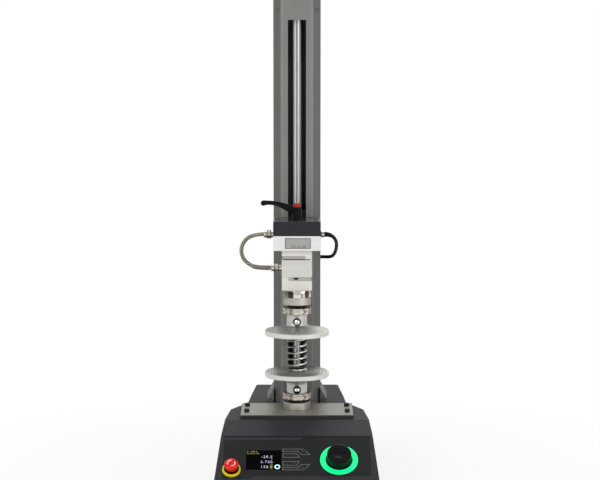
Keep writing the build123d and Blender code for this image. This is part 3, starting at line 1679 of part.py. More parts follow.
def cord_line(points):
    """Centre line of a cord: straight runs through the points, joined by arcs."""
    corners = [Vector(*point) for point in points]
    radii = []
    for before, corner, after in zip(corners, corners[1:], corners[2:]):
        half_bend = radians((corner - before).get_angle(after - corner)) / 2
        shorter = min((corner - before).length, (after - corner).length)
        radii.append(bend_share * shorter / tan(half_bend))
    print("bend radii", [round(radius, 1) for radius in radii])
    with BuildLine() as line:
        FilletPolyline(*corners, radius=radii)
    return line.line


def cord(points, diameter):
    """Round cord along its centre line."""
    line = cord_line(points)
    with BuildPart() as tube:
        with BuildSketch(Plane(line @ 0, z_dir=line % 0)):
            Circle(diameter / 2)
        sweep(path=line)
    return tube.part


# Steel conduit from the module round to the load cell
conduit_points = [
    (-module_width / 2 - upper_gland_length + cord_grip, load_y, upper_gland_z),
    (-conduit_out, load_y, upper_gland_z),
    (-conduit_bow, load_y, conduit_upper_bend),
    (-conduit_bow, load_y, conduit_lower_bend),
    (-conduit_turn, load_y, conduit_turn_z),
    (-conduit_in, load_y, lower_gland_z),
    (-cell_width / 2 - lower_gland_length + cord_grip, load_y, lower_gland_z),
]
with BuildPart() as steel_conduit:
    add(cord(conduit_points, conduit_diameter))
save(steel_conduit.part, "steel_conduit")

# Connector of the signal lead on the module, and its socket on the carriage
connector_plane = Plane((module_width / 2, load_y, upper_gland_z), x_dir=(0, 1, 0), z_dir=(1, 0, 0))
with BuildPart() as lead_connector:
    with BuildSketch(connector_plane):
        Circle(connector_radius)
    extrude(amount=connector_length)
    fillet(lead_connector.faces().sort_by(Axis.X)[-1].edges(), radius=edge_break)
    with BuildSketch(connector_plane.offset(connector_length)):
        Circle(lead_diameter / 2)
    extrude(amount=-lead_grip, mode=Mode.SUBTRACT)
save(lead_connector.part, "lead_connector")

socket_seat = Plane((carriage_width / 2, lead_y, lead_socket_z), x_dir=(0, 1, 0), z_dir=(1, 0, 0))
with BuildPart() as lead_socket:
    with BuildSketch(socket_seat):
        Circle(lead_socket_radius)
    extrude(amount=lead_socket_length)
    with BuildSketch(socket_seat.offset(lead_socket_length)):
        Circle(lead_diameter / 2)
    extrude(amount=-cord_grip, mode=Mode.SUBTRACT)
save(lead_socket.part, "lead_socket")

# Signal lead from the module to the carriage
lead_points = [
    (module_width / 2 + connector_length - lead_grip, load_y, upper_gland_z),
    (lead_exit_x, load_y, upper_gland_z),
    (lead_bend_x, load_y + lead_bend_back, lead_bend_z),
    (lead_bow_x, load_y + lead_bow_back, lead_bow_z),
    (lead_drop_x, load_y + lead_drop_back, lead_drop_z),
    (lead_side_x, load_y + lead_side_back, lead_side_z),
    (lead_turn_x, load_y + lead_turn_back, lead_turn_z),
    (lead_curl_x, load_y + lead_curl_back, lead_curl_z),
    (lead_entry_x, lead_y, lead_socket_z),
    (carriage_width / 2 + lead_socket_length - cord_grip, lead_y, lead_socket_z),
]
with BuildPart() as signal_lead:
    add(cord(lead_points, lead_diameter))
save(signal_lead.part, "signal_lead")

lever_stations = [
    (lever_root_reach, lever_root_rise, lever_root_size),
    (lever_waist_reach, lever_waist_rise, lever_waist_size),
    (lever_neck_reach, lever_neck_rise, lever_neck_size),
    (lever_crest_reach, lever_crest_rise, lever_crest_size),
    (lever_tip_reach, lever_tip_rise, lever_tip_size),
]


def lever_arm():
    """Curved arm lofted through the stations, with a ball-ended tip."""
    with BuildPart() as arm:
        for reach, rise, (half_width, half_height) in lever_stations:
            station = Vector(-reach, lever_y, lever_hub_z + rise)
            with BuildSketch(Plane(station, x_dir=(0, 1, 0), z_dir=(-1, 0, 0))):
                Ellipse(half_width, half_height)
        loft()
    return arm.part


# Clamp lever: hub, stud and a curved arm that thins and then thickens to its tip
lever_base = Plane.XY.offset(lever_hub_z)
with BuildPart() as clamp_lever:
    with BuildSketch(lever_base):
        with Locations((0, lever_y)):
            Circle(lever_hub_radius)
    extrude(amount=lever_hub_height)
    chamfer(clamp_lever.faces().sort_by(Axis.Z)[-1].edges(), length=edge_break)
    with BuildSketch(lever_base):
        with Locations((0, lever_y)):
            Circle(lever_stud_radius)
    extrude(amount=arm_z + arm_height - lever_stud_engagement - lever_hub_z)
    add(lever_arm())
    with BuildSketch(lever_base.offset(lever_hub_height)):
        with Locations((0, lever_y)):
            Circle(button_radius + running_gap)
    extrude(amount=-button_depth - button_travel - slide_gap, mode=Mode.SUBTRACT)
    with Locations((-lever_ball_reach, lever_y, lever_hub_z + lever_tip_rise)):
        Sphere(lever_ball_radius)
save(clamp_lever.part, "clamp_lever")

# Release button in the hub of the lever
with BuildPart() as clamp_button:
    with BuildSketch(Plane.XY.offset(lever_top_z - button_depth)):
        with Locations((0, lever_y)):
            Circle(button_radius)
    extrude(amount=button_depth + button_proud)
    fillet(clamp_button.faces().sort_by(Axis.Z)[-1].edges(), radius=3 * edge_break)
save(clamp_button.part, "clamp_button")
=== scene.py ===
"""Dresses the single-column testing machine: finishes, braided conduit, threads and controls.

Metres, in the frame of the machine: +Z up, the front faces -Y, the origin is on the bench.
"""
import json
from math import cos, pi, radians, sin

import bpy
import numpy as np
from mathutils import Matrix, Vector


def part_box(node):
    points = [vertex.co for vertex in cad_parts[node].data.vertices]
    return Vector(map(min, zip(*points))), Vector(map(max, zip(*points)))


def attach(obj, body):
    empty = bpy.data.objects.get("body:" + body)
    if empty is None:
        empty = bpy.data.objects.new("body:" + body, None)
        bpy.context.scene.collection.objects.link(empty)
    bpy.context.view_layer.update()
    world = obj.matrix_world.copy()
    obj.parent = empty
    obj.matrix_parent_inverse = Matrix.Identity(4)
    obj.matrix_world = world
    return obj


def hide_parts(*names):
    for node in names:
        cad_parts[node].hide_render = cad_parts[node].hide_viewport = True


bl_info = {
    "name": "Single-Column Testing Machine",
    "version": (1, 0, 0),
    "blender": (4, 5, 0),
    "location": "3D View > Sidebar > Machine",
    "description": "Builds the finishes and fine pieces of a bench-top testing machine",
    "category": "Add Mesh",
}

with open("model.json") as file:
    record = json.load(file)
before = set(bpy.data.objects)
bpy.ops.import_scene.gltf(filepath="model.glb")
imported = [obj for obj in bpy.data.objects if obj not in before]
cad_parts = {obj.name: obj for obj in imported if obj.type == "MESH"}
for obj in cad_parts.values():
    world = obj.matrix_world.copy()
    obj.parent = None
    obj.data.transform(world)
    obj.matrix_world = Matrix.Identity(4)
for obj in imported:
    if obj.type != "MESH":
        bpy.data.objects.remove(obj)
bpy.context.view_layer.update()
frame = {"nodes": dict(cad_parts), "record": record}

# Every finish by name, filled by the operator for finishes
finishes = {}

mm = 0.001
full_turn = 2 * pi
across = np.array((1.0, 0.0, 0.0))
backwards = np.array((0.0, 1.0, 0.0))
upwards = np.array((0.0, 0.0, 1.0))

# Load axis, and what stands on it
load_y = -26.5 * mm
load_axis = (0.0, load_y, 0.0)
lower_face_z = 222.6 * mm
coupling_radius = 27.5 * mm

# Control panel: its slope, then places on it in millimetres as (across, down the slope)
panel_slope = radians(37.284)
panel_top = np.array((0.0, -152.5 * mm, 120.0 * mm))
down_slope = np.array((0.0, -cos(panel_slope), -sin(panel_slope)))
panel_normal = np.array((0.0, -sin(panel_slope), cos(panel_slope)))
stop_place = (-124.2, 85.6)
dial_place = (80.5, 60.5)
standby_place = (-37.2, 78.0)
key_mirror_drop = 59.9
key_face = 0.4
print_depth = 0.08

# Routes of the two held cords, centre lines in millimetres
conduit_route = [
    (-61.85, -26.5, 496.2),
    (-88.5, -26.5, 496.2),
    (-109.3, -26.5, 477.0),
    (-109.3, -26.5, 450.0),
    (-90.0, -26.5, 432.3),
    (-69.0, -26.5, 429.5),
    (-48.0, -26.5, 429.5),
]
lead_route = [
    (47.65, -26.5, 496.2),
    (58.0, -26.5, 496.2),
    (68.5, -22.0, 493.0),
    (76.0, -12.0, 484.5),
    (79.0, 6.5, 472.0),
    (77.5, 34.0, 455.0),
    (72.5, 57.0, 442.5),
    (65.0, 69.5, 438.5),
    (54.5, 76.0, 438.0),
    (43.0, 76.5, 438.0),
]

# Soft keys on the panel: outline as (across, down the slope), then the icon's box
outer_key = [(-28.0, 33.0), (13.5, 33.0), (27.5, 49.0), (8.5, 49.0), (2.5, 41.5), (-28.0, 41.5)]
inner_key = [(-28.0, 44.5), (1.0, 44.5), (6.5, 56.0), (-28.0, 56.0)]
outer_icon = (6.2, 34.8, 15.4, 42.6)
inner_icon = (-9.0, 47.4, -1.6, 54.0)

# Painted sheen and reflections on the turned pieces: share of a turn from the back, and how bright it
# is there
satin_reflections = (
    (0.0, 0.6), (0.25, 0.5), (0.29, 0.72), (0.36, 0.95), (0.44, 0.86), (0.52, 1.05),
    (0.62, 0.98), (0.69, 0.7), (0.75, 0.5), (1.0, 0.6),
)
knurl_reflections = (
    (0.0, 0.7), (0.25, 0.3), (0.29, 1.15), (0.33, 1.0), (0.37, 0.3), (0.39, 0.8),
    (0.42, 0.3), (0.45, 0.5), (0.47, 1.15), (0.52, 0.8), (0.55, 1.1), (0.58, 0.4),
    (0.61, 0.9), (0.64, 1.1), (0.67, 0.3), (0.71, 1.05), (0.75, 0.3), (1.0, 0.7),
)
neck_reflections = (
    (0.0, 0.5), (0.17, 0.9), (0.25, 0.35), (0.385, 0.3), (0.4, 0.07), (0.455, 0.06),
    (0.465, 1.1), (0.545, 1.1), (0.552, 0.35), (0.566, 0.4), (0.572, 1.1), (0.59, 1.1),
    (0.6, 0.12), (0.655, 0.14), (0.668, 1.0), (0.75, 1.0), (0.83, 0.4), (1.0, 0.5),
)
platen_reflections = (
    (0.0, 0.95), (0.1, 0.5), (0.2, 0.52), (0.27, 0.6), (0.35, 0.56), (0.43, 0.56),
    (0.5, 0.66), (0.57, 0.56), (0.65, 0.72), (0.73, 1.0), (0.8, 0.85), (0.9, 0.6), (1.0, 0.95),
)
ringed_reflections = (
    (0.0, 0.95), (0.12, 0.7), (0.22, 0.9), (0.32, 0.95), (0.4, 0.6), (0.5, 0.62),
    (0.58, 0.55), (0.66, 0.95), (0.76, 1.15), (0.86, 0.85), (0.93, 0.6), (1.0, 0.95),
)
# Painted reflections of the lamps on the polished guide shaft: bright lines with dark between
shaft_reflections = (
    (0.0, 0.4), (0.25, 0.12), (0.38, 0.1), (0.388, 1.0), (0.477, 1.0), (0.484, 0.07),
    (0.51, 0.07), (0.517, 1.0), (0.618, 1.0), (0.626, 0.07), (0.75, 0.1), (1.0, 0.4),
)

# Painted highlights and shade along the glands: share of the way from the lower to the upper one, and
# how bright
gland_light_and_shade = (
    (0.0, 0.6), (0.03, 0.3), (0.06, 0.16), (0.08, 1.0), (0.11, 1.05), (0.125, 0.2),
    (0.15, 1.1), (0.19, 0.9), (0.5, 0.6), (0.81, 0.4), (0.84, 0.14), (0.87, 0.2),
    (0.885, 1.0), (0.92, 1.05), (0.935, 0.22), (0.955, 1.1), (0.985, 1.0), (1.0, 0.3),
)


def shade(red, green, blue):
    """Linear colour of a display colour given as 0 to 255: the usual gamma curve."""
    value = np.array((red, green, blue)) / 255
    linear = np.where(value < 0.04045, value / 12.92, ((value + 0.055) / 1.055) ** 2.4)
    return tuple(linear.tolist())


def length(name, description, millimetres):
    """A length property with its default given in millimetres."""
    return bpy.props.FloatProperty(
        name=name, description=description, default=millimetres * mm, min=0.0, unit="LENGTH"
    )


def colour(name, description, red, green, blue):
    """A colour property with its default given as display values from 0 to 255."""
    return bpy.props.FloatVectorProperty(
        name=name,
        description=description,
        default=shade(red, green, blue),
        min=0.0,
        max=1.0,
        size=3,
        subtype="COLOR",
    )


class MachineSizes(bpy.types.PropertyGroup):
    """Sizes of the fine pieces."""

    wire_radius: length("Spring wire", "Radius of the test spring's wire", 1.9)
    coil_radius: length("Spring coil", "Radius of the spring's coils, to the wire's middle", 17.7)
    coil_pitch: length("Spring pitch", "Rise of one open coil of the spring", 12.3)
    conduit_radius: length("Conduit", "Outer radius of the braided conduit", 4.1)
    strand_depth: length("Braid depth", "Depth of the hollows between the braid's strands", 0.8)
    lead_radius: length("Signal lead", "Radius of the black signal lead", 3.4)
    thread_pitch: length("Coupling thread", "Pitch of the thread on the two couplings", 1.5)
    screw_groove: length("Screw groove", "Depth of the ball screw's groove", 1.1)
    knurl_depth: length("Knurl", "Depth of the knurling on the lock collars", 0.3)
    dial_rib: length("Dial ribs", "Depth of the ribs round the jog dial", 0.35)
    ring_groove: length("Platen rings", "Depth of the centring rings on the lower platen", 0.1)
    key_line: length("Key outline", "Width of the line round each soft key", 1.5)
    bead_width: length("Column bead", "Width of the column's two front beads", 5.0)


class MachineColours(bpy.types.PropertyGroup):
    """Colours of the finishes."""

    base: colour("Base", "Charcoal powder coat of the base", 52, 54, 56)
    panel: colour("Panel film", "Film on the control panel", 40, 42, 41)
    column: colour("Column", "Textured coating of the column", 134, 134, 131)
    # Lighter than the column: real beads, with their highlight partly painted into this colour
    column_edge: colour("Column edge", "Beads along the column's front", 141, 142, 139)
    bracket: colour("Foot brackets", "Coating of the column's foot brackets", 126, 126, 125)
    bed: colour("Bed plate", "Ground steel of the bed plate", 150, 150, 142)
    alloy: colour("Alloy", "Machined alloy and bright steel", 205, 205, 204)
    cell: colour("Load cell", "Warm satin alloy of the load cell", 234, 231, 224)
    white_case: colour("Module", "Light shell of the electronics module", 240, 240, 240)
    dark_case: colour("Module cap", "Dark cap of the electronics module", 46, 47, 52)
    black_part: colour("Black parts", "Clamp lever and signal lead", 14, 14, 15)
    stop_red: colour("Stop red", "Mushroom cap of the emergency stop", 236, 28, 20)
    stop_yellow: colour("Stop yellow", "Collar of the emergency stop", 240, 222, 0)
    button_red: colour("Button red", "Button of the clamp lever", 186, 36, 34)
    ring_green: colour("Ring light", "Light ring round the dial", 0, 242, 140)
    readout: colour("Readout", "Large figures on the display", 206, 204, 232)
    readout_note: colour("Readout note", "Small figures on the display", 188, 182, 60)
    key_line: colour("Key line", "Outlines of the soft keys", 108, 109, 107)
    floor: colour("Floor", "Plain pale floor", 244, 244, 244)


def box_of(node):
    """Lowest and highest corner of a node's box, as rows of an array."""
    return np.array([list(corner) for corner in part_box(node)])


def angles(steps):
    """Even angles over a whole turn, the first at nought."""
    return np.linspace(0, full_turn, steps, endpoint=False)


def on_panel(x, drop, height=0.0):
    """Points on the panel: x across, drop down its slope and height off it, in millimetres."""
    x, drop, height = (np.asarray(part, float)[..., None] * mm for part in (x, drop, height))
    return panel_top + x * across + drop * down_slope + height * panel_normal


def upon_panel(points, x, drop):
    """Local points in metres turned so that their axis is the panel's normal at x and drop."""
    side = points[..., 0:1] * across - points[..., 1:2] * down_slope
    return on_panel(x, drop) + side + points[..., 2:3] * panel_normal


def lathe(radius, height, steps):
    """Surface of revolution: radius is per height, or a table per height and step.

    A point is (radius cos angle, radius sin angle, height), with steps angles a turn."""
    radius = np.asarray(radius, float)
    if radius.ndim == 1:
        radius = radius[:, None] * np.ones(steps)
    height = np.asarray(height, float)[:, None] * np.ones(steps)
    angle = angles(steps)
    return np.stack((radius * np.cos(angle), radius * np.sin(angle), height), axis=-1)


def turned(radius, height, steps, axis_y=load_y):
    """The lathe's surface about an upright axis in the machine's middle plane."""
    return lathe(radius, height, steps) + np.array((0.0, axis_y, 0.0))


def tube(path, radius, steps, reference):
    """Round surface along a path: centre + radius (cos angle first + sin angle second).

    The first direction is the reference made square to the path, the second is square to both.
    The radius is one number, or a table per place and angle."""
    forward = np.gradient(path, axis=0)
    forward /= np.linalg.norm(forward, axis=1, keepdims=True)
    first = reference - (forward * reference).sum(axis=1, keepdims=True) * forward
    first /= np.linalg.norm(first, axis=1, keepdims=True)
    second = np.cross(forward, first)
    angle = angles(steps)
    ring = np.cos(angle)[:, None] * first[:, None] + np.sin(angle)[:, None] * second[:, None]
    return path[:, None] + np.broadcast_to(radius, ring.shape[:2])[..., None] * ring


def outline_inset(points, distance):
    """Corners moved inwards by one distance: along the sum of both edge normals, mitred."""
    points = np.asarray(points, float)
    edge = np.roll(points, -1, axis=0) - points
    edge /= np.linalg.norm(edge, axis=1, keepdims=True)
    turn = np.cross(edge, np.roll(edge, -1, axis=0)).sum()
    normal = np.stack((-edge[:, 1], edge[:, 0]), axis=1) * np.sign(turn)
    before = np.roll(normal, 1, axis=0)
    share = 1 + (normal * before).sum(axis=1, keepdims=True)
    return points + distance * (normal + before) / share


def corners_of(mesh):
    """Places of a mesh's corners, one row each."""
    places = np.empty(len(mesh.vertices) * 3)
    mesh.vertices.foreach_get("co", places)
    return places.reshape(-1, 3)


def route_line(route, spacing):
    """Even points along the smooth spline that has the route as its control points."""
    data = bpy.data.curves.new("route", "CURVE")
    data.dimensions = "3D"
    data.resolution_u = 32
    spline = data.splines.new("NURBS")
    spline.points.add(len(route) - 1)
    for point, place in zip(spline.points, route):
        point.co = (*(part * mm for part in place), 1.0)
    spline.order_u = 3
    spline.use_endpoint_u = True
    holder = bpy.data.objects.new("route", data)
    line = bpy.data.meshes.new_from_object(holder)
    places = corners_of(line)
    bpy.data.meshes.remove(line)
    bpy.data.objects.remove(holder)
    bpy.data.curves.remove(data)
    run = np.concatenate(((0,), np.cumsum(np.linalg.norm(np.diff(places, axis=0), axis=1))))
    even = np.linspace(0, run[-1], round(run[-1] / spacing) + 1)
    return np.stack([np.interp(even, run, places[:, k]) for k in range(3)], axis=1), even


def face_outwards(mesh):
    """Turn a closed mesh's faces outwards when its enclosed volume comes out negative.

    The volume's sign is that of the sum of a x b . c over the triangles' corners."""
    mesh.calc_loop_triangles()
    corners = corners_of(mesh)
    triangles = np.empty(len(mesh.loop_triangles) * 3, int)
    mesh.loop_triangles.foreach_get("vertices", triangles)
    a, b, c = (corners[triangles[k::3]] - corners.mean(axis=0) for k in range(3))
    if (np.cross(a, b) * c).sum() < 0:
        mesh.flip_normals()


def add_object(name, mesh, finish, body):
    """An object for a finished mesh, at the origin, riding on a body."""
    piece = bpy.data.objects.new(name, mesh)
    bpy.context.scene.collection.objects.link(piece)
    mesh.materials.clear()
    mesh.materials.append(finishes[finish])
    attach(piece, body)
    return piece


def add_piece(name, points, faces, finish, body, smooth):
    """A closed piece from points in metres and its faces, turned outwards."""
    mesh = bpy.data.meshes.new(name)
    mesh.from_pydata(points.reshape(-1, 3).tolist(), [], faces)
    mesh.polygons.foreach_set("use_smooth", [smooth] * len(mesh.polygons))
    mesh.update()
    mesh.validate()
    face_outwards(mesh)
    return add_object(name, mesh, finish, body)


def grid_faces(rows, columns):
    """Quads between neighbouring rows of a grid, closed round each row."""
    row, column = np.meshgrid(np.arange(rows - 1), np.arange(columns), indexing="ij")
    near, far, following = row * columns, (row + 1) * columns, (column + 1) % columns
    corners = (near + column, near + following, far + following, far + column)
    return np.stack(corners, axis=-1).reshape(-1, 4)


def add_solid(name, points, finish, body, smooth=True):
    """A piece from rows of points, with one flat face over its first row and over its last."""
    rows, columns = points.shape[:2]
    first = list(range(columns))[::-1]
    last = list(range((rows - 1) * columns, rows * columns))
    faces = [*grid_faces(rows, columns).tolist(), first, last]
    return add_piece(name, points, faces, finish, body, smooth)


def add_band(name, points, finish, body, smooth=True):
    """A ring-shaped piece from rows of points, the last of which joins the first."""
    rows, columns = points.shape[:2]
    faces = (grid_faces(rows + 1, columns) % (rows * columns)).tolist()
    add_piece(name, points, faces, finish, body, smooth)


def panel_plate(name, outline, low, high, finish, body):
    """A flat plate on the panel: an outline of x and drop carried from low to high."""
    x, drop = np.asarray(outline, float).T
    points = on_panel(x, drop, np.array((low, high))[:, None])
    add_solid(name, points, finish, body, smooth=False)


def panel_line(name, outline, width, low, high, finish, body):
    """A raised line just inside an outline on the panel, a closed band of four corners."""
    inner = outline_inset(outline, width)
    loops = ((outline, low), (outline, high), (inner, high), (inner, low))
    points = np.stack([on_panel(*np.asarray(loop, float).T, level) for loop, level in loops])
    add_band(name, points, finish, body, smooth=False)


def add_figures(name, words, height, side, place, finish, body):
    """Flat figures drawn a little above the XY plane, then moved as a whole by place."""
    text = bpy.data.curves.new(name, "FONT")
    text.body = words
    text.align_x = side
    text.size = height * mm
    text.space_character = 1.25
    text.extrude = 0.02 * mm
    holder = bpy.data.objects.new(name, text)
    mesh = bpy.data.meshes.new_from_object(holder)
    bpy.data.objects.remove(holder)
    flat = corners_of(mesh) + np.array((0.0, 0.0, 0.05 * mm))
    mesh.vertices.foreach_set("co", place(flat).reshape(-1))
    mesh.update()
    add_object(name, mesh, finish, body)


class Finish:
    """A node material under construction, with Object coordinates at hand."""

    def __init__(self, name, base, roughness, metallic=0.0):
        self.material = bpy.data.materials.new(name)
        self.material.use_nodes = True
        self.tree = self.material.node_tree
        self.shader = self.tree.nodes["Principled BSDF"]
        self.base = base
        self.roughness = roughness
        self.normal = None
        self.sockets(Base_Color=(*base, 1.0), Roughness=roughness, Metallic=metallic)

    def sockets(self, **values):
        """Even values on the shader's own sockets, with spaces written as underscores."""
        for key, value in values.items():
            self.shader.inputs[key.replace("_", " ")].default_value = value
        return self

    def add(self, kind, **values):
        """A node with its settings and unlinked inputs."""
        node = self.tree.nodes.new(kind)
        for key, value in values.items():
            if key in node.inputs:
                node.inputs[key].default_value = value
            else:
                setattr(node, key, value)
        return node

    def link(self, source, target):
        """Carry an output to an input."""
        self.tree.links.new(source, target)

    def math(self, operation, *values):
        """Result of a Math node on outputs and plain numbers."""
        node = self.add("ShaderNodeMath", operation=operation)
        for target, value in zip(node.inputs, values):
            if isinstance(value, float):
                target.default_value = value
            else:
                self.link(value, target)
        return node.outputs["Value"]

    def coordinates(self, centre=(0.0, 0.0, 0.0), stretch=(1.0, 1.0, 1.0)):
        """Object coordinates measured from a centre, then scaled along each axis."""
        source = self.add("ShaderNodeTexCoord")
        shift = self.add("ShaderNodeMapping", vector_type="POINT")
        shift.inputs["Location"].default_value = [-part for part in centre]
        self.link(source.outputs["Object"], shift.inputs["Vector"])
        scaled = self.add("ShaderNodeMapping", vector_type="POINT")
        scaled.inputs["Scale"].default_value = stretch
        self.link(shift.outputs["Vector"], scaled.inputs["Vector"])
        return scaled.outputs["Vector"]

    def parts(self, **place):
        """The three coordinates one by one."""
        split = self.add("ShaderNodeSeparateXYZ")
        self.link(self.coordinates(**place), split.inputs["Vector"])
        return split.outputs

    def away(self, **place):
        """Distance from the coordinates' centre."""
        distance = self.add("ShaderNodeVectorMath", operation="LENGTH")
        self.link(self.coordinates(**place), distance.inputs[0])
        return distance.outputs["Value"]

    def noise(self, scale, detail, **place):
        """Soft noise with a scale per metre."""
        node = self.add("ShaderNodeTexNoise", Scale=scale, Detail=detail)
        self.link(self.coordinates(**place), node.inputs["Vector"])
        return node.outputs["Fac"]

    def between(self, value, low, high, start, end):
        """Start while a value is under low, end while it is over high, evenly in between."""
        node = self.add("ShaderNodeMapRange")
        for key, number in zip(("From Min", "From Max", "To Min", "To Max"), (low, high, start, end)):
            node.inputs[key].default_value = number
        self.link(value, node.inputs["Value"])
        return node.outputs["Result"]

    def share_of(self, value, low, high, under=False):
        """How far a value has come from low to high, 0 to 1, or the other way round."""
        return self.between(value, low, high, *((1.0, 0.0) if under else (0.0, 1.0)))

    def along(self, axis, low, high, under=False):
        """Share of the way along an axis."""
        return self.share_of(self.parts()[axis], low, high, under)

    def around(self, centre):
        """Share of a turn round a vertical axis: 0 at the back, half a turn facing the front."""
        place = self.parts(centre=centre, stretch=(1.0, -1.0, 1.0))
        return self.share_of(self.math("ARCTAN2", place["X"], place["Y"]), -pi, pi)

    def wave(self, value, pitch):
        """Cosine of a distance, once in each pitch."""
        return self.math("COSINE", self.math("MULTIPLY", value, full_turn / pitch))

    def bands(self, value, stops):
        """Base colour times a factor that follows a value through its stops."""
        ramp = self.add("ShaderNodeValToRGB")
        elements = ramp.color_ramp.elements
        for count, (place, factor) in enumerate(stops):
            stop = elements[count] if count < 2 else elements.new(place)
            stop.position = place
            stop.color = (*(min(part * factor, 1.0) for part in self.base), 1.0)
        self.link(value, ramp.inputs["Fac"])
        self.link(ramp.outputs["Color"], self.shader.inputs["Base Color"])
        return self

    def vary_colour(self, value, share):
        """Base colour from darker to lighter by a share, following a value."""
        return self.bands(value, ((0.3, 1 - share), (0.7, 1 + share)))

    def turn_to(self, share, other):
        """Base colour going over to another colour as a share goes from 0 to 1."""
        mix = self.add("ShaderNodeMix", data_type="RGBA")
        self.link(share, mix.inputs["Factor"])
        self.link(self.shader.inputs["Base Color"].links[0].from_socket, mix.inputs[6])
        mix.inputs[7].default_value = (*other, 1.0)
        self.link(mix.outputs[2], self.shader.inputs["Base Color"])
        return self

    def vary_roughness(self, noise, spread):
        """Roughness either side of its middle value, as soft noise goes from 0.3 to 0.7."""
        low, high = self.roughness - spread, self.roughness + spread
        self.link(self.between(noise, 0.3, 0.7, low, high), self.shader.inputs["Roughness"])
        return self

    def bump(self, value, depth, strength):
        """Fine relief of a real depth in metres, over any relief already there."""
        node = self.add("ShaderNodeBump", Strength=strength, Distance=depth)
        self.link(value, node.inputs["Height"])
        if self.normal:
            self.link(self.normal, node.inputs["Normal"])
        self.normal = node.outputs["Normal"]
        self.link(self.normal, self.shader.inputs["Normal"])
        return self


def powder_coat(name, base, roughness, grain=900.0):
    """Sprayed coating: fine orange-peel relief, faint cloudy patches."""
    finish = Finish(name, base, roughness)
    finish.vary_colour(finish.noise(14.0, 4.0), 0.05)
    finish.vary_roughness(finish.noise(grain / 3, 2.0), 0.05)
    finish.bump(finish.noise(grain, 2.0), 0.12 * mm, 0.35)
    return finish.sockets(Specular_IOR_Level=0.16).material


def moulded(name, base, roughness, gloss=0.25, depth=0.05 * mm):
    """Moulded plastic: very fine spark-eroded grain, slightly uneven sheen."""
    finish = Finish(name, base, roughness)
    finish.vary_colour(finish.noise(40.0, 3.0), 0.04)
    finish.vary_roughness(finish.noise(300.0, 3.0), 0.04)
    finish.bump(finish.noise(2600.0, 1.0), depth, 0.25)
    return finish.sockets(Specular_IOR_Level=gloss).material


def glossy(name, base, roughness, gloss=0.5):
    """Smooth glossy plastic or glass, very slightly wavy."""
    finish = Finish(name, base, roughness)
    finish.vary_colour(finish.noise(60.0, 2.0), 0.03)
    finish.bump(finish.noise(90.0, 2.0), 0.2 * mm, 0.06)
    return finish.sockets(Specular_IOR_Level=gloss).material


def satin_metal(name, base, roughness, share=0.05, stretch=(1.0, 1.0, 1.0)):
    """Machined or ground metal, its fine marks drawn out along an axis of small stretch."""
    finish = Finish(name, base, roughness, metallic=1.0)
    marks = finish.noise(1500.0, 2.0, stretch=stretch)
    finish.vary_colour(finish.noise(90.0, 3.0, stretch=stretch), share)
    finish.vary_roughness(marks, 0.07)
    return finish.bump(marks, 0.04 * mm, 0.35).material


def turned_metal(name, base, roughness, stops, metallic=0.95):
    """Metal turned on a lathe, with a painted sheen and reflections in sectors about the load axis.
    """
    finish = Finish(name, base, roughness, metallic)
    # Painted sheen and reflections in sectors round the load axis
    finish.bands(finish.around(load_axis), stops)
    marks = finish.noise(60.0, 2.0, stretch=(1.0, 1.0, 4.0))
    return finish.vary_roughness(marks, 0.04).material


def platen_finish(name, base, stops, ring_pitch=None):
    """Turned platen: painted sheen and reflections in sectors, a painted highlight on the rim and
    hub, and dark rings painted as the grooves' shade if it has a pitch.
    """
    rim, hub = (61.2 * mm, 62.2 * mm), (21.0 * mm, 22.5 * mm)
    finish = Finish(name, base, 0.4, metallic=0.6)
    # Painted sheen and reflections in sectors round the load axis
    finish.bands(finish.around(load_axis), stops)
    reach = finish.away(centre=load_axis, stretch=(1.0, 1.0, 0.0))
    # Painted highlights on the rim and on the hub
    finish.turn_to(finish.share_of(reach, *rim), shade(238, 237, 233))
    finish.turn_to(finish.share_of(reach, *hub, under=True), shade(224, 222, 216))
    # Dark rings painted as the shade in the centring grooves
    if ring_pitch:
        rings = finish.wave(reach, ring_pitch)
        finish.turn_to(finish.share_of(rings, 0.72, 0.95), shade(98, 97, 93))
    finish.vary_roughness(finish.noise(60.0, 2.0, stretch=(1.0, 1.0, 4.0)), 0.04)
    return finish.sockets(Specular_IOR_Level=0.3).material


def ball_chrome(name, node, dark_from):
    """Polished ball head with a painted reflection of its room: bright middle, dark ring and a dark
    foot where it mirrors the dark base.
    """
    low, high = box_of(node)
    centre, radius = (low + high) / 2, float(high[2] - low[2]) / 2
    finish = Finish(name, (0.9, 0.9, 0.9), 0.1, metallic=1.0)
    stops = ((0.0, 1.0), (0.5, 1.0), (0.62, 0.6), (0.72, 0.1), (0.9, 0.05), (0.96, 0.3), (1.0, 0.1))
    reach = finish.away(centre=centre, stretch=(1.0, 0.0, 1.0))
    finish.bands(finish.share_of(reach, 0.0, radius), stops)
    # Dark foot: painted reflection of the dark base below the ball
    foot = centre[2] - dark_from * radius
    below = finish.along("Z", foot - 0.25 * radius, foot, under=True)
    return finish.turn_to(below, shade(44, 42, 40)).material


def gland_metal(name, base):
    """Plated glands, one above the other: painted highlights and shade in lines along them, and dark
    rings round them painted as the shade at their nuts' edges.
    """
    lower_z, upper_z, step_shade_x, step_shade_pitch = 421.3 * mm, 504.4 * mm, 2.0 * mm, 7.6 * mm
    finish = Finish(name, base, 0.2, metallic=0.6)
    # Painted highlights and shade across the glands' round
    finish.bands(finish.along("Z", lower_z, upper_z), gland_light_and_shade)
    # Dark rings: painted shade at the nuts' edges
    step_shade = finish.wave(finish.parts(centre=(step_shade_x, 0.0, 0.0))["X"], step_shade_pitch)
    finish.turn_to(finish.share_of(step_shade, 0.7, 0.9), shade(52, 48, 40))
    return finish.vary_roughness(finish.noise(300.0, 2.0), 0.04).material


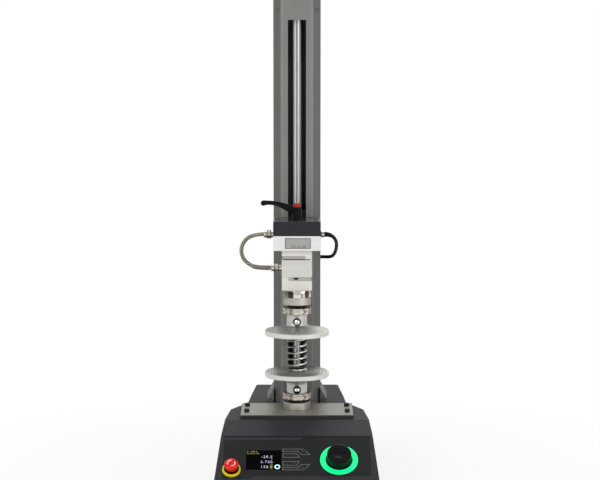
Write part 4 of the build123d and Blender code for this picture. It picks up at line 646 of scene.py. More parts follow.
def rubber(name, base):
    """Matt black rubber with a dusty bloom."""
    finish = Finish(name, base, 0.75)
    finish.vary_colour(finish.noise(180.0, 4.0), 0.15)
    return finish.bump(finish.noise(1800.0, 2.0), 0.08 * mm, 0.4).material


def lit(name, base, strength):
    """Lit print or light guide: its own colour given off evenly."""
    finish = Finish(name, base, 0.4)
    finish.vary_colour(finish.noise(200.0, 2.0), 0.05)
    return finish.sockets(Emission_Color=(*base, 1.0), Emission_Strength=strength).material


def flecked_board(name, base):
    """Coated circuit board with lighter tracks in a regular grid of flecks."""
    finish = Finish(name, base, 0.4)
    cells = finish.add("ShaderNodeTexVoronoi", Scale=220.0)
    finish.link(finish.coordinates(), cells.inputs["Vector"])
    finish.vary_colour(cells.outputs["Distance"], 0.35)
    return finish.bump(cells.outputs["Distance"], 0.2 * mm, 0.4).material


def ground_plate(name, base):
    """Ground bed plate with a painted reflection, darker where it mirrors the column and lighter to
    the left, and painted shade on its faces below the top.
    """
    half_width, edge_z, soft = 172.0 * mm, 147.0 * mm, 0.4 * mm
    finish = Finish(name, base, 0.5, metallic=0.5)
    marks = finish.noise(900.0, 3.0, stretch=(0.03, 1.0, 1.0))
    stops = ((0.0, 1.04), (0.36, 1.1), (0.375, 0.99), (0.625, 0.97), (0.64, 0.98), (1.0, 0.92))
    # Painted reflection and light: darker in the middle where the plate mirrors the column, lighter
    # to the left
    finish.bands(finish.along("X", -half_width, half_width), stops)
    # Painted shade on the plate's faces below its top
    finish.turn_to(finish.along("Z", edge_z, edge_z + soft, under=True), shade(58, 58, 56))
    finish.vary_roughness(marks, 0.06)
    finish.bump(marks, 0.03 * mm, 0.3)
    return finish.sockets(Specular_IOR_Level=0.25).material


def screw_finish(name, base, grey):
    """Black screws on the bed plate, and those on the column coated like it."""
    plate_y, column_y = 20.0 * mm, 25.0 * mm
    finish = Finish(name, base, 0.45, metallic=0.4)
    finish.vary_colour(finish.noise(400.0, 2.0), 0.1)
    finish.turn_to(finish.along("Y", plate_y, column_y), grey)
    return finish.bump(finish.noise(1500.0, 2.0), 0.04 * mm, 0.3).material


def cover_finish(name, base, seal):
    """Brushed cover plates of the load cell, with darker seals behind their faces."""
    seal_from, seal_to = load_y - 12.9 * mm, load_y - 12.6 * mm
    brushed = (0.05, 1.0, 1.0)
    finish = Finish(name, base, 0.36, metallic=0.7)
    marks = finish.noise(1500.0, 2.0, stretch=brushed)
    finish.vary_colour(finish.noise(90.0, 3.0, stretch=brushed), 0.04)
    finish.turn_to(finish.along("Y", seal_from, seal_to), seal)
    finish.vary_roughness(marks, 0.07)
    return finish.bump(marks, 0.04 * mm, 0.35).material


def column_coating(name, base, left, right):
    """The column's textured coating, with painted shade on the chamfers outside both beads, darker on
    the left.
    """
    bead_from, bead_to = 32.0 * mm, 33.0 * mm
    finish = Finish(name, base, 0.52)
    finish.vary_colour(finish.noise(14.0, 4.0), 0.04)
    # Painted shade on the chamfers, deeper on the left than on the right
    finish.turn_to(finish.along("X", -bead_to, -bead_from, under=True), left)
    finish.turn_to(finish.along("X", bead_from, bead_to), right)
    finish.vary_roughness(finish.noise(360.0, 2.0), 0.05)
    finish.bump(finish.noise(1100.0, 2.0), 0.15 * mm, 0.35)
    return finish.sockets(Specular_IOR_Level=0.2).material


def cap_finish(name, base):
    """Dark moulded cap whose top face is polished and mirrors the column behind it."""
    top = box_of("module_cap")[1][2]
    polished, soft, skin_from, skin_to = 44.0 * mm, 1.0 * mm, 0.4 * mm, 0.2 * mm
    finish = Finish(name, base, 0.4)
    finish.vary_colour(finish.noise(40.0, 3.0), 0.04)
    finish.bump(finish.noise(2600.0, 1.0), 0.05 * mm, 0.2)
    polish = finish.along("Z", top - skin_from, top - skin_to)
    for side, under in ((polished, True), (-polished, False)):
        inside = finish.along("X", side - soft, side + soft, under)
        polish = finish.math("MULTIPLY", polish, inside)
    finish.link(polish, finish.shader.inputs["Coat Weight"])
    return finish.sockets(Specular_IOR_Level=0.2, Coat_IOR=2.3, Coat_Roughness=0.04).material


def collar_finish(name, base):
    """Yellow collar of the emergency stop with its black inner ring."""
    collar_top, black_to, yellow_from = 4.5, 14.2 * mm, 14.6 * mm
    finish = Finish(name, base, 0.35)
    finish.vary_colour(finish.noise(60.0, 2.0), 0.03)
    reach = finish.away(centre=on_panel(*stop_place, collar_top))
    finish.turn_to(finish.share_of(reach, black_to, yellow_from, under=True), shade(16, 16, 16))
    return finish.sockets(Specular_IOR_Level=0.3).material


def rod_finish(name, base, node, stops):
    """Polished rod with painted reflections of the lamps: bright and dark lines along it, by the
    angle round its axis.
    """
    finish = Finish(name, base, 0.2, metallic=0.3)
    finish.bands(finish.around(box_of(node).mean(axis=0)), stops)
    finish.vary_roughness(finish.noise(200.0, 2.0, stretch=(1.0, 1.0, 0.03)), 0.03)
    return finish.sockets(Specular_IOR_Level=0.6).material


def spring_finish(name, base, left, rear):
    """Drawn wire with painted shade on its left, and the far side of the coils painted darker in the
    machine's shade.
    """
    left_x, near_y, far_y = -5.0 * mm, load_y - 1.0 * mm, load_y + 8.0 * mm
    finish = Finish(name, base, 0.28, metallic=0.95)
    finish.vary_colour(finish.noise(120.0, 3.0), 0.06)
    # Painted shade on the left of the coils and on their far side
    finish.turn_to(finish.along("X", left_x, 0.0, under=True), left)
    finish.turn_to(finish.along("Y", near_y, far_y), rear)
    return finish.vary_roughness(finish.noise(400.0, 2.0), 0.05).material


def make_finishes(colours):
    """Every finish of the machine by name: its maker, then what the maker needs."""
    key_film = tuple(part * 1.2 for part in colours.panel)
    platen = shade(208, 206, 200)
    recipes = {
        "base_paint": (powder_coat, colours.base, 0.6),
        "pan_steel": (powder_coat, shade(70, 70, 72), 0.55),
        "foot_rubber": (rubber, shade(32, 32, 33)),
        "fascia_film": (moulded, colours.panel, 0.42, 0.1, 0.08 * mm),
        "display_glass": (glossy, shade(3, 4, 5), 0.12, 0.04),
        "ring_light": (lit, colours.ring_green, 0.7),
        "key_film": (moulded, key_film, 0.45, 0.1),
        "board": (flecked_board, shade(24, 92, 58)),
        "dial_metal": (moulded, shade(15, 15, 16), 0.35, 0.12),
        "stop_red": (glossy, colours.stop_red, 0.25, 0.3),
        "stop_yellow": (collar_finish, colours.stop_yellow),
        "contact_plastic": (moulded, shade(46, 46, 48), 0.45),
        "bed_steel": (ground_plate, colours.bed),
        "screw_black": (screw_finish, shade(28, 28, 30), shade(118, 118, 116)),
        "thread_steel": (satin_metal, shade(70, 66, 62), 0.3),
        "column_coat": (column_coating, colours.column, shade(109, 110, 107), shade(117, 117, 115)),
        # Beads: lighter coating, partly a painted highlight along them
        "column_edge": (powder_coat, colours.column_edge, 0.45, 1100.0),
        "arm_coat": (powder_coat, shade(110, 111, 109), 0.5, 1100.0),
        "bracket_coat": (powder_coat, colours.bracket, 0.5, 1100.0),
        "cap_plastic": (moulded, shade(88, 88, 87), 0.5),
        "shaft_steel": (rod_finish, (0.97, 0.97, 0.98), "guide_shaft", shaft_reflections),
        "machined_alloy": (satin_metal, colours.alloy, 0.32, 0.05, (1.0, 0.05, 0.05)),
        "ground_steel": (satin_metal, shade(188, 189, 191), 0.26, 0.05, (1.0, 1.0, 0.1)),
        "motor_paint": (powder_coat, shade(40, 40, 42), 0.4),
        "belt_rubber": (rubber, shade(28, 28, 28)),
        "supply_case": (satin_metal, shade(196, 197, 198), 0.38),
        "socket_plastic": (moulded, shade(30, 30, 32), 0.4),
        # Turned pieces: their sector tables paint sheen and reflections into the colour
        "coupling_steel": (turned_metal, shade(214, 208, 198), 0.36, satin_reflections),
        "knurled_steel": (turned_metal, shade(228, 219, 206), 0.3, knurl_reflections),
        "platen_steel": (platen_finish, platen, platen_reflections),
        "ringed_steel": (platen_finish, platen, ringed_reflections, 6.4 * mm),
        "spring_steel": (
            spring_finish, shade(244, 242, 238), shade(150, 147, 142), shade(60, 57, 54)
        ),
        "pin_chrome": (ball_chrome, "upper_coupling_pin", 0.55),
        "pin_chrome_low": (ball_chrome, "lower_coupling_pin", 0.05),
        "module_white": (moulded, colours.white_case, 0.32),
        "module_dark": (cap_finish, colours.dark_case),
        "window_grey": (glossy, shade(174, 174, 170), 0.2),
        "cell_steel": (moulded, colours.cell, 0.3),
        "cover_steel": (cover_finish, shade(236, 235, 230), shade(196, 195, 190)),
        "gland_nickel": (gland_metal, shade(236, 230, 214)),
        "conduit_steel": (satin_metal, shade(204, 197, 174), 0.34, 0.12),
        "lead_jacket": (moulded, colours.black_part, 0.4, 0.15),
        "lever_black": (glossy, colours.black_part, 0.3, 0.14),
        "button_red": (glossy, colours.button_red, 0.25, 0.3),
        "core_dark": (rubber, shade(44, 41, 33)),
        "sleeve_grey": (satin_metal, shade(134, 130, 120), 0.42),
        "readout": (lit, colours.readout, 0.3),
        "readout_note": (lit, colours.readout_note, 0.3),
        "window_ink": (moulded, shade(38, 38, 36), 0.5),
        "standby_light": (lit, shade(190, 240, 246), 1.0),
        "key_print": (moulded, colours.key_line, 0.5),
        "icon_print": (moulded, shade(22, 23, 24), 0.4),
        "glyph_print": (moulded, shade(84, 85, 84), 0.4),
        "stop_print": (moulded, shade(240, 230, 226), 0.4),
        "seam_shade": (moulded, shade(20, 21, 21), 0.5),
        "carriage_black": (moulded, shade(26, 26, 27), 0.5),
        "neck_polish": (turned_metal, shade(232, 229, 222), 0.14, neck_reflections, 1.0),
    }
    return {name: make(name, *settings) for name, (make, *settings) in recipes.items()}


def dress(node, finish):
    """Give a node of the frame its node material."""
    slots = frame["nodes"][node].material_slots
    if not slots:
        frame["nodes"][node].data.materials.append(finishes[finish])
    for slot in slots:
        slot.material = finishes[finish]


class MachinePiece:
    """What all the operators share."""

    bl_options = {"REGISTER", "UNDO"}

    def execute(self, context):
        """Build with the sizes and colours that the scene holds."""
        self.build(context.scene.machine_sizes, context.scene.machine_colours)
        return {"FINISHED"}


class MACHINE_OT_stage(MachinePiece, bpy.types.Operator):
    """Plain pale floor, soft lights, white surroundings and the camera"""

    bl_idname = "testing_machine.stage"
    bl_label = "Stage"

    def build(self, sizes, colours):
        """Camera, floor, four soft lights and the surroundings, all in metres."""
        scene = bpy.context.scene
        scene.view_settings.view_transform = "Standard"
        camera = bpy.data.objects.new("camera", bpy.data.cameras.new("camera"))
        camera.location = (0.006, -4.1265, 0.988)
        camera.rotation_euler = (radians(83.0), 0.0, 0.0)
        camera.data.lens = 126.0
        camera.data.sensor_width = 36.0
        camera.data.clip_end = 60.0
        scene.collection.objects.link(camera)
        scene.camera = camera

        finish = self.floor_finish(colours)
        half = 14.0
        corners = [(-half, -half, 0), (half, -half, 0), (half, half, 0), (-half, half, 0)]
        mesh = bpy.data.meshes.new("floor")
        mesh.from_pydata(corners, [], [(0, 1, 2, 3)])
        mesh.materials.append(finish)
        floor = bpy.data.objects.new("floor", mesh)
        scene.collection.objects.link(floor)

        self.soft_light("key_light", (-1.7, -2.3, 2.3), 1.5, 36.0)
        self.soft_light("fill_light", (2.2, -2.0, 1.3), 1.4, 20.0)
        self.soft_light("top_light", (0.2, 1.7, 2.8), 1.5, 30.0)
        self.soft_light("rear_light", (0.4, 3.0, 1.6), 1.6, 5.0)
        self.surround(scene, 0.42)

    def floor_finish(self, colours):
        """Matt floor whose seen colour fades to plain white away from the machine."""
        finish = Finish("floor", colours.floor, 0.9)
        finish.vary_colour(finish.noise(3.0, 3.0), 0.01)
        finish.sockets(Specular_IOR_Level=0.1)
        fade = finish.between(finish.away(), 0.3, 0.9, 0.8, 1.0)
        path = finish.add("ShaderNodeLightPath")
        seen = finish.math("MULTIPLY", path.outputs["Is Camera Ray"], fade)
        white = finish.add("ShaderNodeEmission", Strength=1.0)
        mix = finish.add("ShaderNodeMixShader")
        finish.link(seen, mix.inputs["Fac"])
        finish.link(finish.shader.outputs["BSDF"], mix.inputs[1])
        finish.link(white.outputs["Emission"], mix.inputs[2])
        finish.link(mix.outputs["Shader"], finish.tree.nodes["Material Output"].inputs["Surface"])
        return finish.material

    def soft_light(self, name, place, size, power):
        """A square soft box aimed at the middle of the machine."""
        light = bpy.data.lights.new(name, "AREA")
        light.size = size
        light.energy = power
        lamp = bpy.data.objects.new(name, light)
        lamp.location = place
        aim = np.array((0.0, 0.0, 0.45)) - np.array(place)
        yaw = np.arctan2(aim[0], -aim[1])
        tilt = np.arccos(-aim[2] / np.linalg.norm(aim))
        lamp.rotation_euler = (tilt, 0.0, yaw + pi)
        bpy.context.scene.collection.objects.link(lamp)

    def surround(self, scene, level):
        """White seen straight, a softer white in reflections, and an even light for the rest."""
        world = bpy.data.worlds.new("surround")
        scene.world = world
        world.use_nodes = True
        tree = world.node_tree
        background = tree.nodes["Background"]
        background.inputs["Color"].default_value = (1.0, 1.0, 1.0, 1.0)
        path = tree.nodes.new("ShaderNodeLightPath")
        rays = (("Is Glossy Ray", 0.55), ("Is Transmission Ray", 1.0), ("Is Camera Ray", 1.0))
        strength = None
        for ray, seen_level in rays:
            choice = tree.nodes.new("ShaderNodeMix")
            choice.data_type = "FLOAT"
            choice.inputs["A"].default_value = level
            choice.inputs["B"].default_value = seen_level
            if strength:
                tree.links.new(strength, choice.inputs["A"])
            tree.links.new(path.outputs[ray], choice.inputs["Factor"])
            strength = choice.outputs["Result"]
        tree.links.new(strength, background.inputs["Strength"])


class MACHINE_OT_finishes(MachinePiece, bpy.types.Operator):
    """Node materials for every piece of the frame"""

    bl_idname = "testing_machine.finishes"
    bl_label = "Finishes"

    def build(self, sizes, colours):
        """Each node gets the finish of its slot, and four nodes get one of their own."""
        finishes.update(make_finishes(colours))
        for part in frame["record"]["subparts"]:
            dress(part["node"], part["material_slot"])
        dress("column_foot_brackets", "bracket_coat")
        dress("carriage", "carriage_black")
        dress("crosshead_arm", "arm_coat")
        dress("lower_coupling_pin", "pin_chrome_low")


class MACHINE_OT_cords(MachinePiece, bpy.types.Operator):
    """Braided steel conduit with its end sleeve, and the black signal lead"""

    bl_idname = "testing_machine.cords"
    bl_label = "Conduit and lead"

    def build(self, sizes, colours):
        """Both cords are round surfaces along the splines of their routes."""
        path, run = route_line(conduit_route, 0.3 * mm)
        self.braided_conduit(path, run, sizes)
        self.conduit_sleeve(path, sizes)
        self.signal_lead(sizes)

    def braided_conduit(self, path, run, sizes):
        """Two sets of strands wind against each other; where they cross, one lies higher.

        Each set is a raised cosine of its phase, and the product of both half-phase cosines
        lifts one set and lowers the other at each crossing in turn."""
        strands, steps = 5, 60
        angle = angles(steps)
        twist = strands / sizes.conduit_radius * run[:, None]
        one, other = strands * angle + twist, strands * angle - twist
        crossing = np.cos(one / 2) * np.cos(other / 2)
        high = np.maximum(
            (0.5 + 0.5 * np.cos(one)) * (0.85 + 0.15 * crossing),
            (0.5 + 0.5 * np.cos(other)) * (0.42 - 0.12 * crossing),
        )
        radius = sizes.conduit_radius - sizes.strand_depth * (1 - high)
        points = tube(path, radius, steps, backwards)
        conduit = add_solid("braided_conduit", points, "conduit_steel", "crosshead")
        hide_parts("steel_conduit")
        core_radius = sizes.conduit_radius - 0.45 * sizes.strand_depth
        core = tube(path[::8], core_radius, 24, backwards)
        add_solid("conduit_core", core, "core_dark", "crosshead")

    def conduit_sleeve(self, path, sizes):
        """A plain sleeve over the conduit's lower end, its radius less at both lips.

        It covers what lies between two distances left of the middle, counted from the end."""
        near_x, far_x, wall = 52.0 * mm, 86.0 * mm, 0.45 * mm
        first, last = np.searchsorted(-path[::-1, 0], (near_x, far_x))
        end = len(path) - 1
        part = path[end - last : end - first : 8]
        along = np.linspace(0, 1, len(part))
        lip = np.minimum(1, 6 * np.minimum(along, 1 - along) + 0.5)
        points = tube(part, (sizes.conduit_radius + wall * lip)[:, None], 32, backwards)
        add_solid("conduit_sleeve", points, "sleeve_grey", "crosshead")

    def signal_lead(self, sizes):
        """A plain round jacket, and a relief over its first stretch.

        The relief's radius falls evenly along it, with a cosine of seven ribs added."""
        relief_from, relief_to, rib_depth = 7.0 * mm, 21.0 * mm, 0.22 * mm
        square = np.array((0.0, 0.5, 0.86))
        points = tube(route_line(lead_route, 1.2 * mm)[0], sizes.lead_radius, 24, square)
        lead = add_solid("lead_cable", points, "lead_jacket", "crosshead")
        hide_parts("signal_lead")
        path, run = route_line(lead_route, 0.4 * mm)
        part = path[(run > relief_from) & (run < relief_to)]
        along = np.linspace(0, 1, len(part))
        ribs = rib_depth * np.cos(full_turn * 7 * along)
        radius = (sizes.lead_radius + (1.7 - 1.2 * along) * mm + ribs)[:, None]
        points = tube(part, radius, 28, square)
        add_solid("lead_relief", points, "lead_jacket", "crosshead")


class MACHINE_OT_spring(MachinePiece, bpy.types.Operator):
    """Smooth wire spring standing between the platens"""

    bl_idname = "testing_machine.spring"
    bl_label = "Test spring"

    def build(self, sizes, colours):
        """The wire's middle climbs by the closed pitch at both ends and the open pitch between."""
        spring_length, closed_coils = 73.7 * mm, 2.0
        closed_pitch = 2 * sizes.wire_radius + 0.05 * mm
        rise = spring_length - 2 * sizes.wire_radius - closed_coils * closed_pitch
        open_coils = rise / sizes.coil_pitch
        coils = np.linspace(0, open_coils + closed_coils, 520)
        opened = np.clip(coils - closed_coils / 2, 0, open_coils)
        climb = (coils - opened) * closed_pitch + opened * sizes.coil_pitch
        angle = full_turn * coils
        path = np.stack(
            (
                sizes.coil_radius * np.cos(angle),
                load_y + sizes.coil_radius * np.sin(angle),
                lower_face_z + sizes.wire_radius + climb,
            ),
            axis=1,
        )
        points = tube(path, sizes.wire_radius, 20, upwards)
        spring = add_solid("spring_wire", points, "spring_steel", "root")
        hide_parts("test_spring")


class MACHINE_OT_screw(MachinePiece, bpy.types.Operator):
    """Ball screw with its rolled groove"""

    bl_idname = "testing_machine.screw"
    bl_label = "Ball screw"

    def build(self, sizes, colours):
        """Radius less a rounded groove that goes round once in each rise of the lead."""
        low, high = box_of("ball_screw")
        lead, steps = 10.0 * mm, 24
        thread_radius, end_radius, tail_radius = 8.0 * mm, 6.0 * mm, 5.0 * mm
        tail_top, thread_low, thread_high = 50.0 * mm, 66.3 * mm, 921.7 * mm
        threaded = np.linspace(thread_low, thread_high, 1030)
        phase = full_turn * threaded[:, None] / lead - angles(steps)
        groove = sizes.screw_groove * np.clip(0.25 + np.cos(phase), 0, 1)
        below = np.array((tail_radius, tail_radius, end_radius, end_radius))[:, None]
        above = np.full((2, steps), end_radius)
        radius = np.concatenate((below * np.ones(steps), thread_radius - groove, above))
        height = np.concatenate(
            ((low[2], tail_top, tail_top, thread_low), threaded, (thread_high, high[2]))
        )
        points = turned(radius, height, steps, (low[1] + high[1]) / 2)
        screw = add_solid("screw_thread", points, "ground_steel", "screw")
        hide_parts("ball_screw")


class MACHINE_OT_column(MachinePiece, bpy.types.Operator):
    """Rounded beads down both front edges of the column"""

    bl_idname = "testing_machine.column"
    bl_label = "Column beads"

    def build(self, sizes, colours):
        """A low arch carried up the column: its height is the root of the share's sine."""
        front_y, proud, sink, outer_x = 43.5 * mm, 0.5 * mm, 0.4 * mm, 32.0 * mm
        foot_z, head_z = 150.5 * mm, 977.5 * mm
        share = np.linspace(0, 1, 9)
        for side, name in ((-1, "left"), (1, "right")):
            x = side * (outer_x - sizes.bead_width * share)
            y = front_y - proud * np.sin(pi * share) ** 0.5
            x = np.concatenate((x, x[[-1, 0]]))
            y = np.concatenate((y, np.full(2, front_y + sink)))
            ends = [np.stack((x, y, np.full_like(x, z)), axis=1) for z in (foot_z, head_z)]
            piece = f"column_bead_{name}"
            add_solid(piece, np.stack(ends), "column_edge", "root", smooth=False)


class MACHINE_OT_couplings(MachinePiece, bpy.types.Operator):
    """Threads, knurled bands, fillets and centring rings on the load axis"""

    bl_idname = "testing_machine.couplings"
    bl_label = "Couplings"

    def build(self, sizes, colours):
        """Two knurled bands on each collar, near its edges; heights in millimetres."""
        lower_foot, upper_foot, collar_height = 168.3, 338.9, 12.0
        band, edge = 3.5, 0.3
        self.thread("lower_thread", 163.0, lower_foot, "root", sizes)
        self.thread("upper_thread", upper_foot + collar_height, 357.5, "crosshead", sizes)
        for collar, foot in (("lower_collar", lower_foot), ("upper_collar", upper_foot)):
            low, high = foot + edge, foot + collar_height - edge
            self.knurl(f"{collar}_band_low", low, low + band, collar, sizes)
            self.knurl(f"{collar}_band_high", high - band, high, collar, sizes)
        self.platen_rings(sizes)
        self.polished_neck()
        self.hub_flare("lower_platen", -1.0, "root")
        self.hub_flare("upper_platen", 1.0, "crosshead")

    def polished_neck(self):
        """A turned skin over the coupling under the load cell, bright with painted reflections."""
        skin = 0.12 * mm
        radius = coupling_radius + skin * np.array((0.0, 1.0, 1.0, 0.0))
        height = np.array((372.3, 372.5, 385.6, 385.8)) * mm
        points = turned(radius, height, 160)
        add_solid("polished_neck", points, "neck_polish", "crosshead")

    def hub_flare(self, node, side, body):
        """A fillet from a platen's cone to its hub: a quarter circle, hollow outwards."""
        hub, blend, sunk, foot = 20.0 * mm, 6.5 * mm, 0.4 * mm, 17.5 * mm
        low, high = box_of(node)
        face_z = low[2] if side > 0.0 else high[2]
        angle = np.linspace(0.0, pi / 2, 9)
        radius = hub + blend * (1.0 - np.sin(angle))
        height = foot + blend * (1.0 - np.cos(angle))
        radius = np.concatenate(((hub - sunk, hub + blend), radius, (hub - sunk,)))
        height = np.concatenate(((foot - sunk, foot - sunk), height, (foot + blend,)))
        points = turned(radius, face_z + side * height, 128)
        add_solid(f"{node}_flare", points, "platen_steel", body)

    def thread(self, name, low, high, body, sizes):
        """A vee thread: the radius is a triangle wave of height over pitch, less the angle."""
        steps, root_radius, depth = 72, 18.05 * mm, 0.9 * mm
        height = np.arange(low * mm, high * mm, sizes.thread_pitch / 8)
        share = np.linspace(0, 1, steps, endpoint=False)
        phase = (height[:, None] / sizes.thread_pitch - share) % 1.0
        radius = root_radius + depth * (1 - 2 * np.abs(phase - 0.5))
        points = turned(radius, height, steps)
        add_solid(name, points, "thread_steel", body)

    def knurl(self, name, low, high, body, sizes):
        """Straight knurling: the radius is a rounded wave of the angle, faded at both edges."""
        steps, teeth, sunk, proud = 720, 120, 0.15 * mm, 0.25 * mm
        share = np.array((0.0, 0.0, 0.12, 0.88, 1.0, 1.0))
        edge = np.array((0.0, 0.35, 1.0, 1.0, 0.35, 0.0))[:, None]
        wave = 0.5 + 0.5 * np.cos(teeth * angles(steps))
        radius = coupling_radius - sunk + edge * (proud + sizes.knurl_depth * wave)
        points = turned(radius, (low + (high - low) * share) * mm, steps)
        add_solid(name, points, "knurled_steel", body)

    def platen_rings(self, sizes):
        """A thin skin on the lower platen, its height less a narrow vee at each ring."""
        skin, half, rim = 0.12 * mm, 0.45 * mm, 62.2 * mm
        rings = np.array((12.5, 19.0, 25.0, 31.5, 38.0, 44.5, 50.5, 57.0)) * mm
        radius = np.concatenate([(ring - half, ring, ring + half) for ring in rings])
        height = np.tile((skin, skin - sizes.ring_groove, skin), len(rings))
        radius = np.concatenate(((1.0 * mm,), radius, (rim, rim + 0.2 * mm)))
        height = np.concatenate(((skin,), height, (skin, -0.05 * mm)))
        points = turned(radius, lower_face_z + height, 128)
        add_solid("platen_rings", points, "ringed_steel", "root")


class MACHINE_OT_display(MachinePiece, bpy.types.Operator):
    """Figures on the display and the standby button's lit ring"""

    bl_idname = "testing_machine.display"
    bl_label = "Display"

    def build(self, sizes, colours):
        """Rows of figures on the glass: x, drop and height in millimetres."""
        for name, words, x, drop, height, side, finish in (
            ("note_1", "01 1000.0", -95.5, 41.2, 3.9, "LEFT", "readout_note"),
            ("note_2", "02 20.0 500", -95.5, 46.2, 3.9, "LEFT", "readout_note"),
            ("figure_1", "-20.5", -46.5, 55.9, 8.4, "RIGHT", "readout"),
            ("figure_2", "3.750", -46.5, 68.4, 8.4, "RIGHT", "readout"),
            ("figure_3", "120.0", -46.5, 80.4, 8.4, "RIGHT", "readout"),
            ("unit_1", "N", -49.5, 60.0, 3.4, "LEFT", "readout_note"),
            ("unit_2", "mm", -51.5, 72.4, 3.4, "LEFT", "readout_note"),
            ("unit_3", "N", -49.5, 84.2, 3.4, "LEFT", "readout_note"),
        ):
            self.figures(f"display_{name}", words, x, drop, height, side, finish)
        self.standby_ring()

    def figures(self, name, words, x, drop, height, side, finish):
        """Flat figures as a mesh, laid on the glass."""

        def on_glass(flat):
            """The figures' plane laid on the panel's."""
            return upon_panel(flat, x, drop)

        add_figures(name, words, height, side, on_glass, finish, "root")

    def standby_ring(self):
        """A flat ring with bevelled edges, turned about the button's axis."""
        radius = np.array((3.5, 3.5, 3.7, 5.1, 5.3, 5.3)) * mm
        height = (key_face + np.array((-0.1, 0.1, 0.2, 0.2, 0.1, -0.1))) * mm
        points = upon_panel(lathe(radius, height, 48), *standby_place)
        add_band("standby_ring", points, "standby_light", "standby")


class MACHINE_OT_keys(MachinePiece, bpy.types.Operator):
    """Printed outlines and icons on the four soft keys, and a dark strip of painted shade over the
    panel's seam
    """

    bl_idname = "testing_machine.keys"
    bl_label = "Soft keys"

    def build(self, sizes, colours):
        """A dark strip over the panel's upper edge, painted as the shade in the seam there, then the
        print of each key.
        """
        # Painted shade: a dark strip where the band folds into the panel
        seam = [(-139.5, 0.4), (139.5, 0.4), (140.0, 4.7), (-140.0, 4.7)]
        panel_plate("panel_seam_shade", seam, -0.2, 0.1, "seam_shade", "root")
        keys = (
            (outer_key, outer_icon, True, self.up_arrow()),
            (inner_key, inner_icon, True, self.two_bars()),
            (inner_key, inner_icon, False, self.square()),
            (outer_key, outer_icon, False, self.down_arrow()),
        )
        for number, key in enumerate(keys, start=1):
            self.printed_key(f"key_{number}", *key, sizes)

    def printed_key(self, key, outline, icon, upper, glyph, sizes):
        """Outline, icon and glyph of a key; the lower two keys mirror the upper two."""
        line_inset, glyph_share = 0.4, 0.62
        top = key_face + print_depth
        left, icon_top, right, icon_foot = icon
        box = [(left, icon_top), (right, icon_top), (right, icon_foot), (left, icon_foot)]
        if not upper:
            outline = [(x, 2 * key_mirror_drop - drop) for x, drop in outline]
            box = [(x, 2 * key_mirror_drop - drop) for x, drop in box]
        line = outline_inset(outline, line_inset)
        width = sizes.key_line / mm
        panel_line(f"{key}_outline", line, width, key_face, top, "key_print", key)
        panel_plate(f"{key}_icon", box, key_face, top, "icon_print", key)
        reach = glyph_share * (right - left) / 2
        for part, shape in enumerate(glyph, start=1):
            mark = np.mean(box, axis=0) + reach * np.asarray(shape)
            name = f"{key}_glyph_{part}"
            panel_plate(name, mark, top, top + print_depth, "glyph_print", key)

    def up_arrow(self):
        """Triangle pointing up the slope over a bar."""
        return (
            [(-0.8, 0.15), (0.0, -0.8), (0.8, 0.15)],
            [(-0.8, 0.45), (0.8, 0.45), (0.8, 0.75), (-0.8, 0.75)],
        )

    def down_arrow(self):
        """Triangle pointing down the slope under a bar."""
        return [[(x, -drop) for x, drop in shape] for shape in self.up_arrow()]

    def two_bars(self):
        """Two upright bars."""
        bar = [(-0.6, -0.7), (-0.2, -0.7), (-0.2, 0.7), (-0.6, 0.7)]
        return bar, [(x + 0.8, drop) for x, drop in bar]

    def square(self):
        """One plain square."""
        return ([(-0.6, -0.6), (0.6, -0.6), (0.6, 0.6), (-0.6, 0.6)],)


class MACHINE_OT_dial(MachinePiece, bpy.types.Operator):
    """Ribbed jog dial with its finger dimple"""

    bl_idname = "testing_machine.dial"
    bl_label = "Jog dial"

    def build(self, sizes, colours):
        """A turned profile whose side is pressed in by a rounded wave of the angle.

        Its rows are radius, height and the share of the ribs' depth there."""
        profile = (
            (0.6, -7.1, 0), (3.0, -7.1, 0), (3.0, 0.4, 0), (22.6, 0.4, 0), (23.3, 1.0, 0),
            (23.3, 2.4, 0), (23.3, 2.9, 1), (23.3, 15.6, 1), (23.3, 16.2, 0), (23.2, 17.9, 0),
            (22.7, 19.1, 0), (21.7, 19.8, 0), (20.6, 20.0, 0), (11.2, 20.0, 0), (10.5, 19.8, 0),
            (10.0, 19.2, 0), (9.2, 17.9, 0), (8.3, 17.5, 0), (0.6, 17.4, 0),
        )
        steps, ribs = 432, 72
        radius, height, ribbed = np.array(profile).T
        wave = 0.5 - 0.5 * np.cos(ribs * angles(steps))
        radius = radius[:, None] * mm - ribbed[:, None] * sizes.dial_rib * wave
        points = upon_panel(lathe(radius, height * mm, steps), *dial_place)
        dial = add_solid("ribbed_dial", points, "dial_metal", "dial")
        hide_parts("jog_dial")


class MACHINE_OT_stop(MachinePiece, bpy.types.Operator):
    """Turning arrows on the emergency stop's cap"""

    bl_idname = "testing_machine.stop"
    bl_label = "Emergency stop arrows"

    def build(self, sizes, colours):
        """Each arrow is an arc band with a wider head, both ways along the same angle."""
        cap_top, cover, steps = 20.8, 0.18, 14
        outer, inner, head_outer, head_inner = 8.0, 6.2, 8.7, 5.2
        arc = np.radians(np.linspace(0, 95, steps))
        turn = np.concatenate((arc, np.radians((95, 128, 95)), arc[::-1]))
        head = (head_outer, (outer + inner) / 2, head_inner)
        reach = np.concatenate((np.full(steps, outer), head, np.full(steps, inner)))
        for number, start in enumerate((radians(30), radians(210)), start=1):
            x = stop_place[0] + reach * np.cos(start - turn)
            drop = stop_place[1] - reach * np.sin(start - turn)
            arrow = np.stack((x, drop), axis=1)
            name = f"stop_arrow_{number}"
            panel_plate(name, arrow, cap_top, cap_top + cover, "stop_print", "stop_cap")


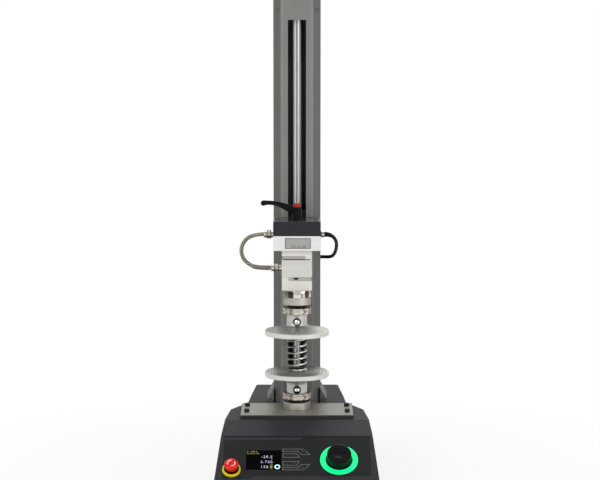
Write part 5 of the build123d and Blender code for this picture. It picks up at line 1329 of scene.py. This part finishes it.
class MACHINE_OT_load_cell(MachinePiece, bpy.types.Operator):
    """Painted shade: a dark bar in the gap over the load cell's cover, and a dark oval for the
    shadowed screw hole in its lower slot
    """

    bl_idname = "testing_machine.load_cell"
    bl_label = "Load cell details"

    def build(self, sizes, colours):
        """A bar and an oval, each an outline of x and z in millimetres."""
        gap = [(-27.0, 446.4), (27.0, 446.4), (27.0, 447.9), (-27.0, 447.9)]
        # Dark sheets painted where there is only shade: the cover's gap and the screw hole
        self.front_plate("cover_gap_shade", gap, -39.5, -39.85)
        turn = angles(32)
        oval = np.stack((-2.0 + 5.4 * np.cos(turn), 409.2 + 2.1 * np.sin(turn)), axis=1)
        self.front_plate("slot_hole_shade", oval, -37.9, -38.15)

    def front_plate(self, name, outline, rear, front):
        """An outline of x and z carried from a rear to a front distance along Y."""
        points = np.array([[(x, y, z) for x, z in outline] for y in (rear, front)]) * mm
        add_solid(name, points, "seam_shade", "crosshead", smooth=False)


class MACHINE_OT_module(MachinePiece, bpy.types.Operator):
    """Border round the electronics module's window and the figures in it"""

    bl_idname = "testing_machine.module"
    bl_label = "Module window"

    def build(self, sizes, colours):
        """The border and the figures take their place from the window's box."""
        low, high = box_of("module_window")
        self.border(low, high)
        self.figures(low)

    def border(self, low, high):
        """A closed band of four corners carried round the window's four sides."""
        width, proud = 1.3 * mm, 0.35 * mm
        front, rear = low[1] - proud, high[1]
        outer = [(low[0], low[2]), (high[0], low[2]), (high[0], high[2]), (low[0], high[2])]
        inner = outline_inset(outer, width)
        loops = ((outer, rear), (outer, front), (inner, front), (inner, rear))
        points = np.array([[(x, y, z) for x, z in loop] for loop, y in loops])
        add_band("window_border", points, "key_print", "crosshead", smooth=False)

    def figures(self, low):
        """Flat figures stood upright in the window's front face."""
        right, rise = 2.6 * mm, 2.1 * mm

        def in_window(flat):
            """The figures' plane turned upright, facing the front."""
            upright = np.stack((flat[:, 0] + right, -flat[:, 2], flat[:, 1]), axis=1)
            return upright + np.array((0.0, low[1], low[2] + rise))

        add_figures(
            "window_figures", "0.0 20.00", 6.2, "CENTER", in_window,
            "window_ink", "crosshead",
        )


class MACHINE_PT_sidebar(bpy.types.Panel):
    """Buttons that build the machine's pieces"""

    bl_label = "Testing machine"
    bl_idname = "MACHINE_PT_sidebar"
    bl_space_type = "VIEW_3D"
    bl_region_type = "UI"
    bl_category = "Machine"

    def draw(self, context):
        """A button for each operator, then every size and colour."""
        for operator in operators:
            self.layout.operator(operator.bl_idname)
        for group in (context.scene.machine_sizes, context.scene.machine_colours):
            for name in group.bl_rna.properties.keys():
                if name not in ("rna_type", "name"):
                    self.layout.prop(group, name)


operators = (
    MACHINE_OT_stage,
    MACHINE_OT_finishes,
    MACHINE_OT_cords,
    MACHINE_OT_spring,
    MACHINE_OT_screw,
    MACHINE_OT_column,
    MACHINE_OT_couplings,
    MACHINE_OT_display,
    MACHINE_OT_keys,
    MACHINE_OT_dial,
    MACHINE_OT_stop,
    MACHINE_OT_load_cell,
    MACHINE_OT_module,
)
classes = (MachineSizes, MachineColours, *operators, MACHINE_PT_sidebar)


def register():
    """Register every class and hang both groups of properties on the scene."""
    for one in classes:
        bpy.utils.register_class(one)
    bpy.types.Scene.machine_sizes = bpy.props.PointerProperty(type=MachineSizes)
    bpy.types.Scene.machine_colours = bpy.props.PointerProperty(type=MachineColours)


def unregister():
    """Undo register."""
    del bpy.types.Scene.machine_colours
    del bpy.types.Scene.machine_sizes
    for one in reversed(classes):
        bpy.utils.unregister_class(one)


def main():
    """Build the whole scene in order."""
    register()
    for operator in operators:
        group, name = operator.bl_idname.split(".")
        getattr(getattr(bpy.ops, group), name)()


if __name__ == "__main__":
    main()
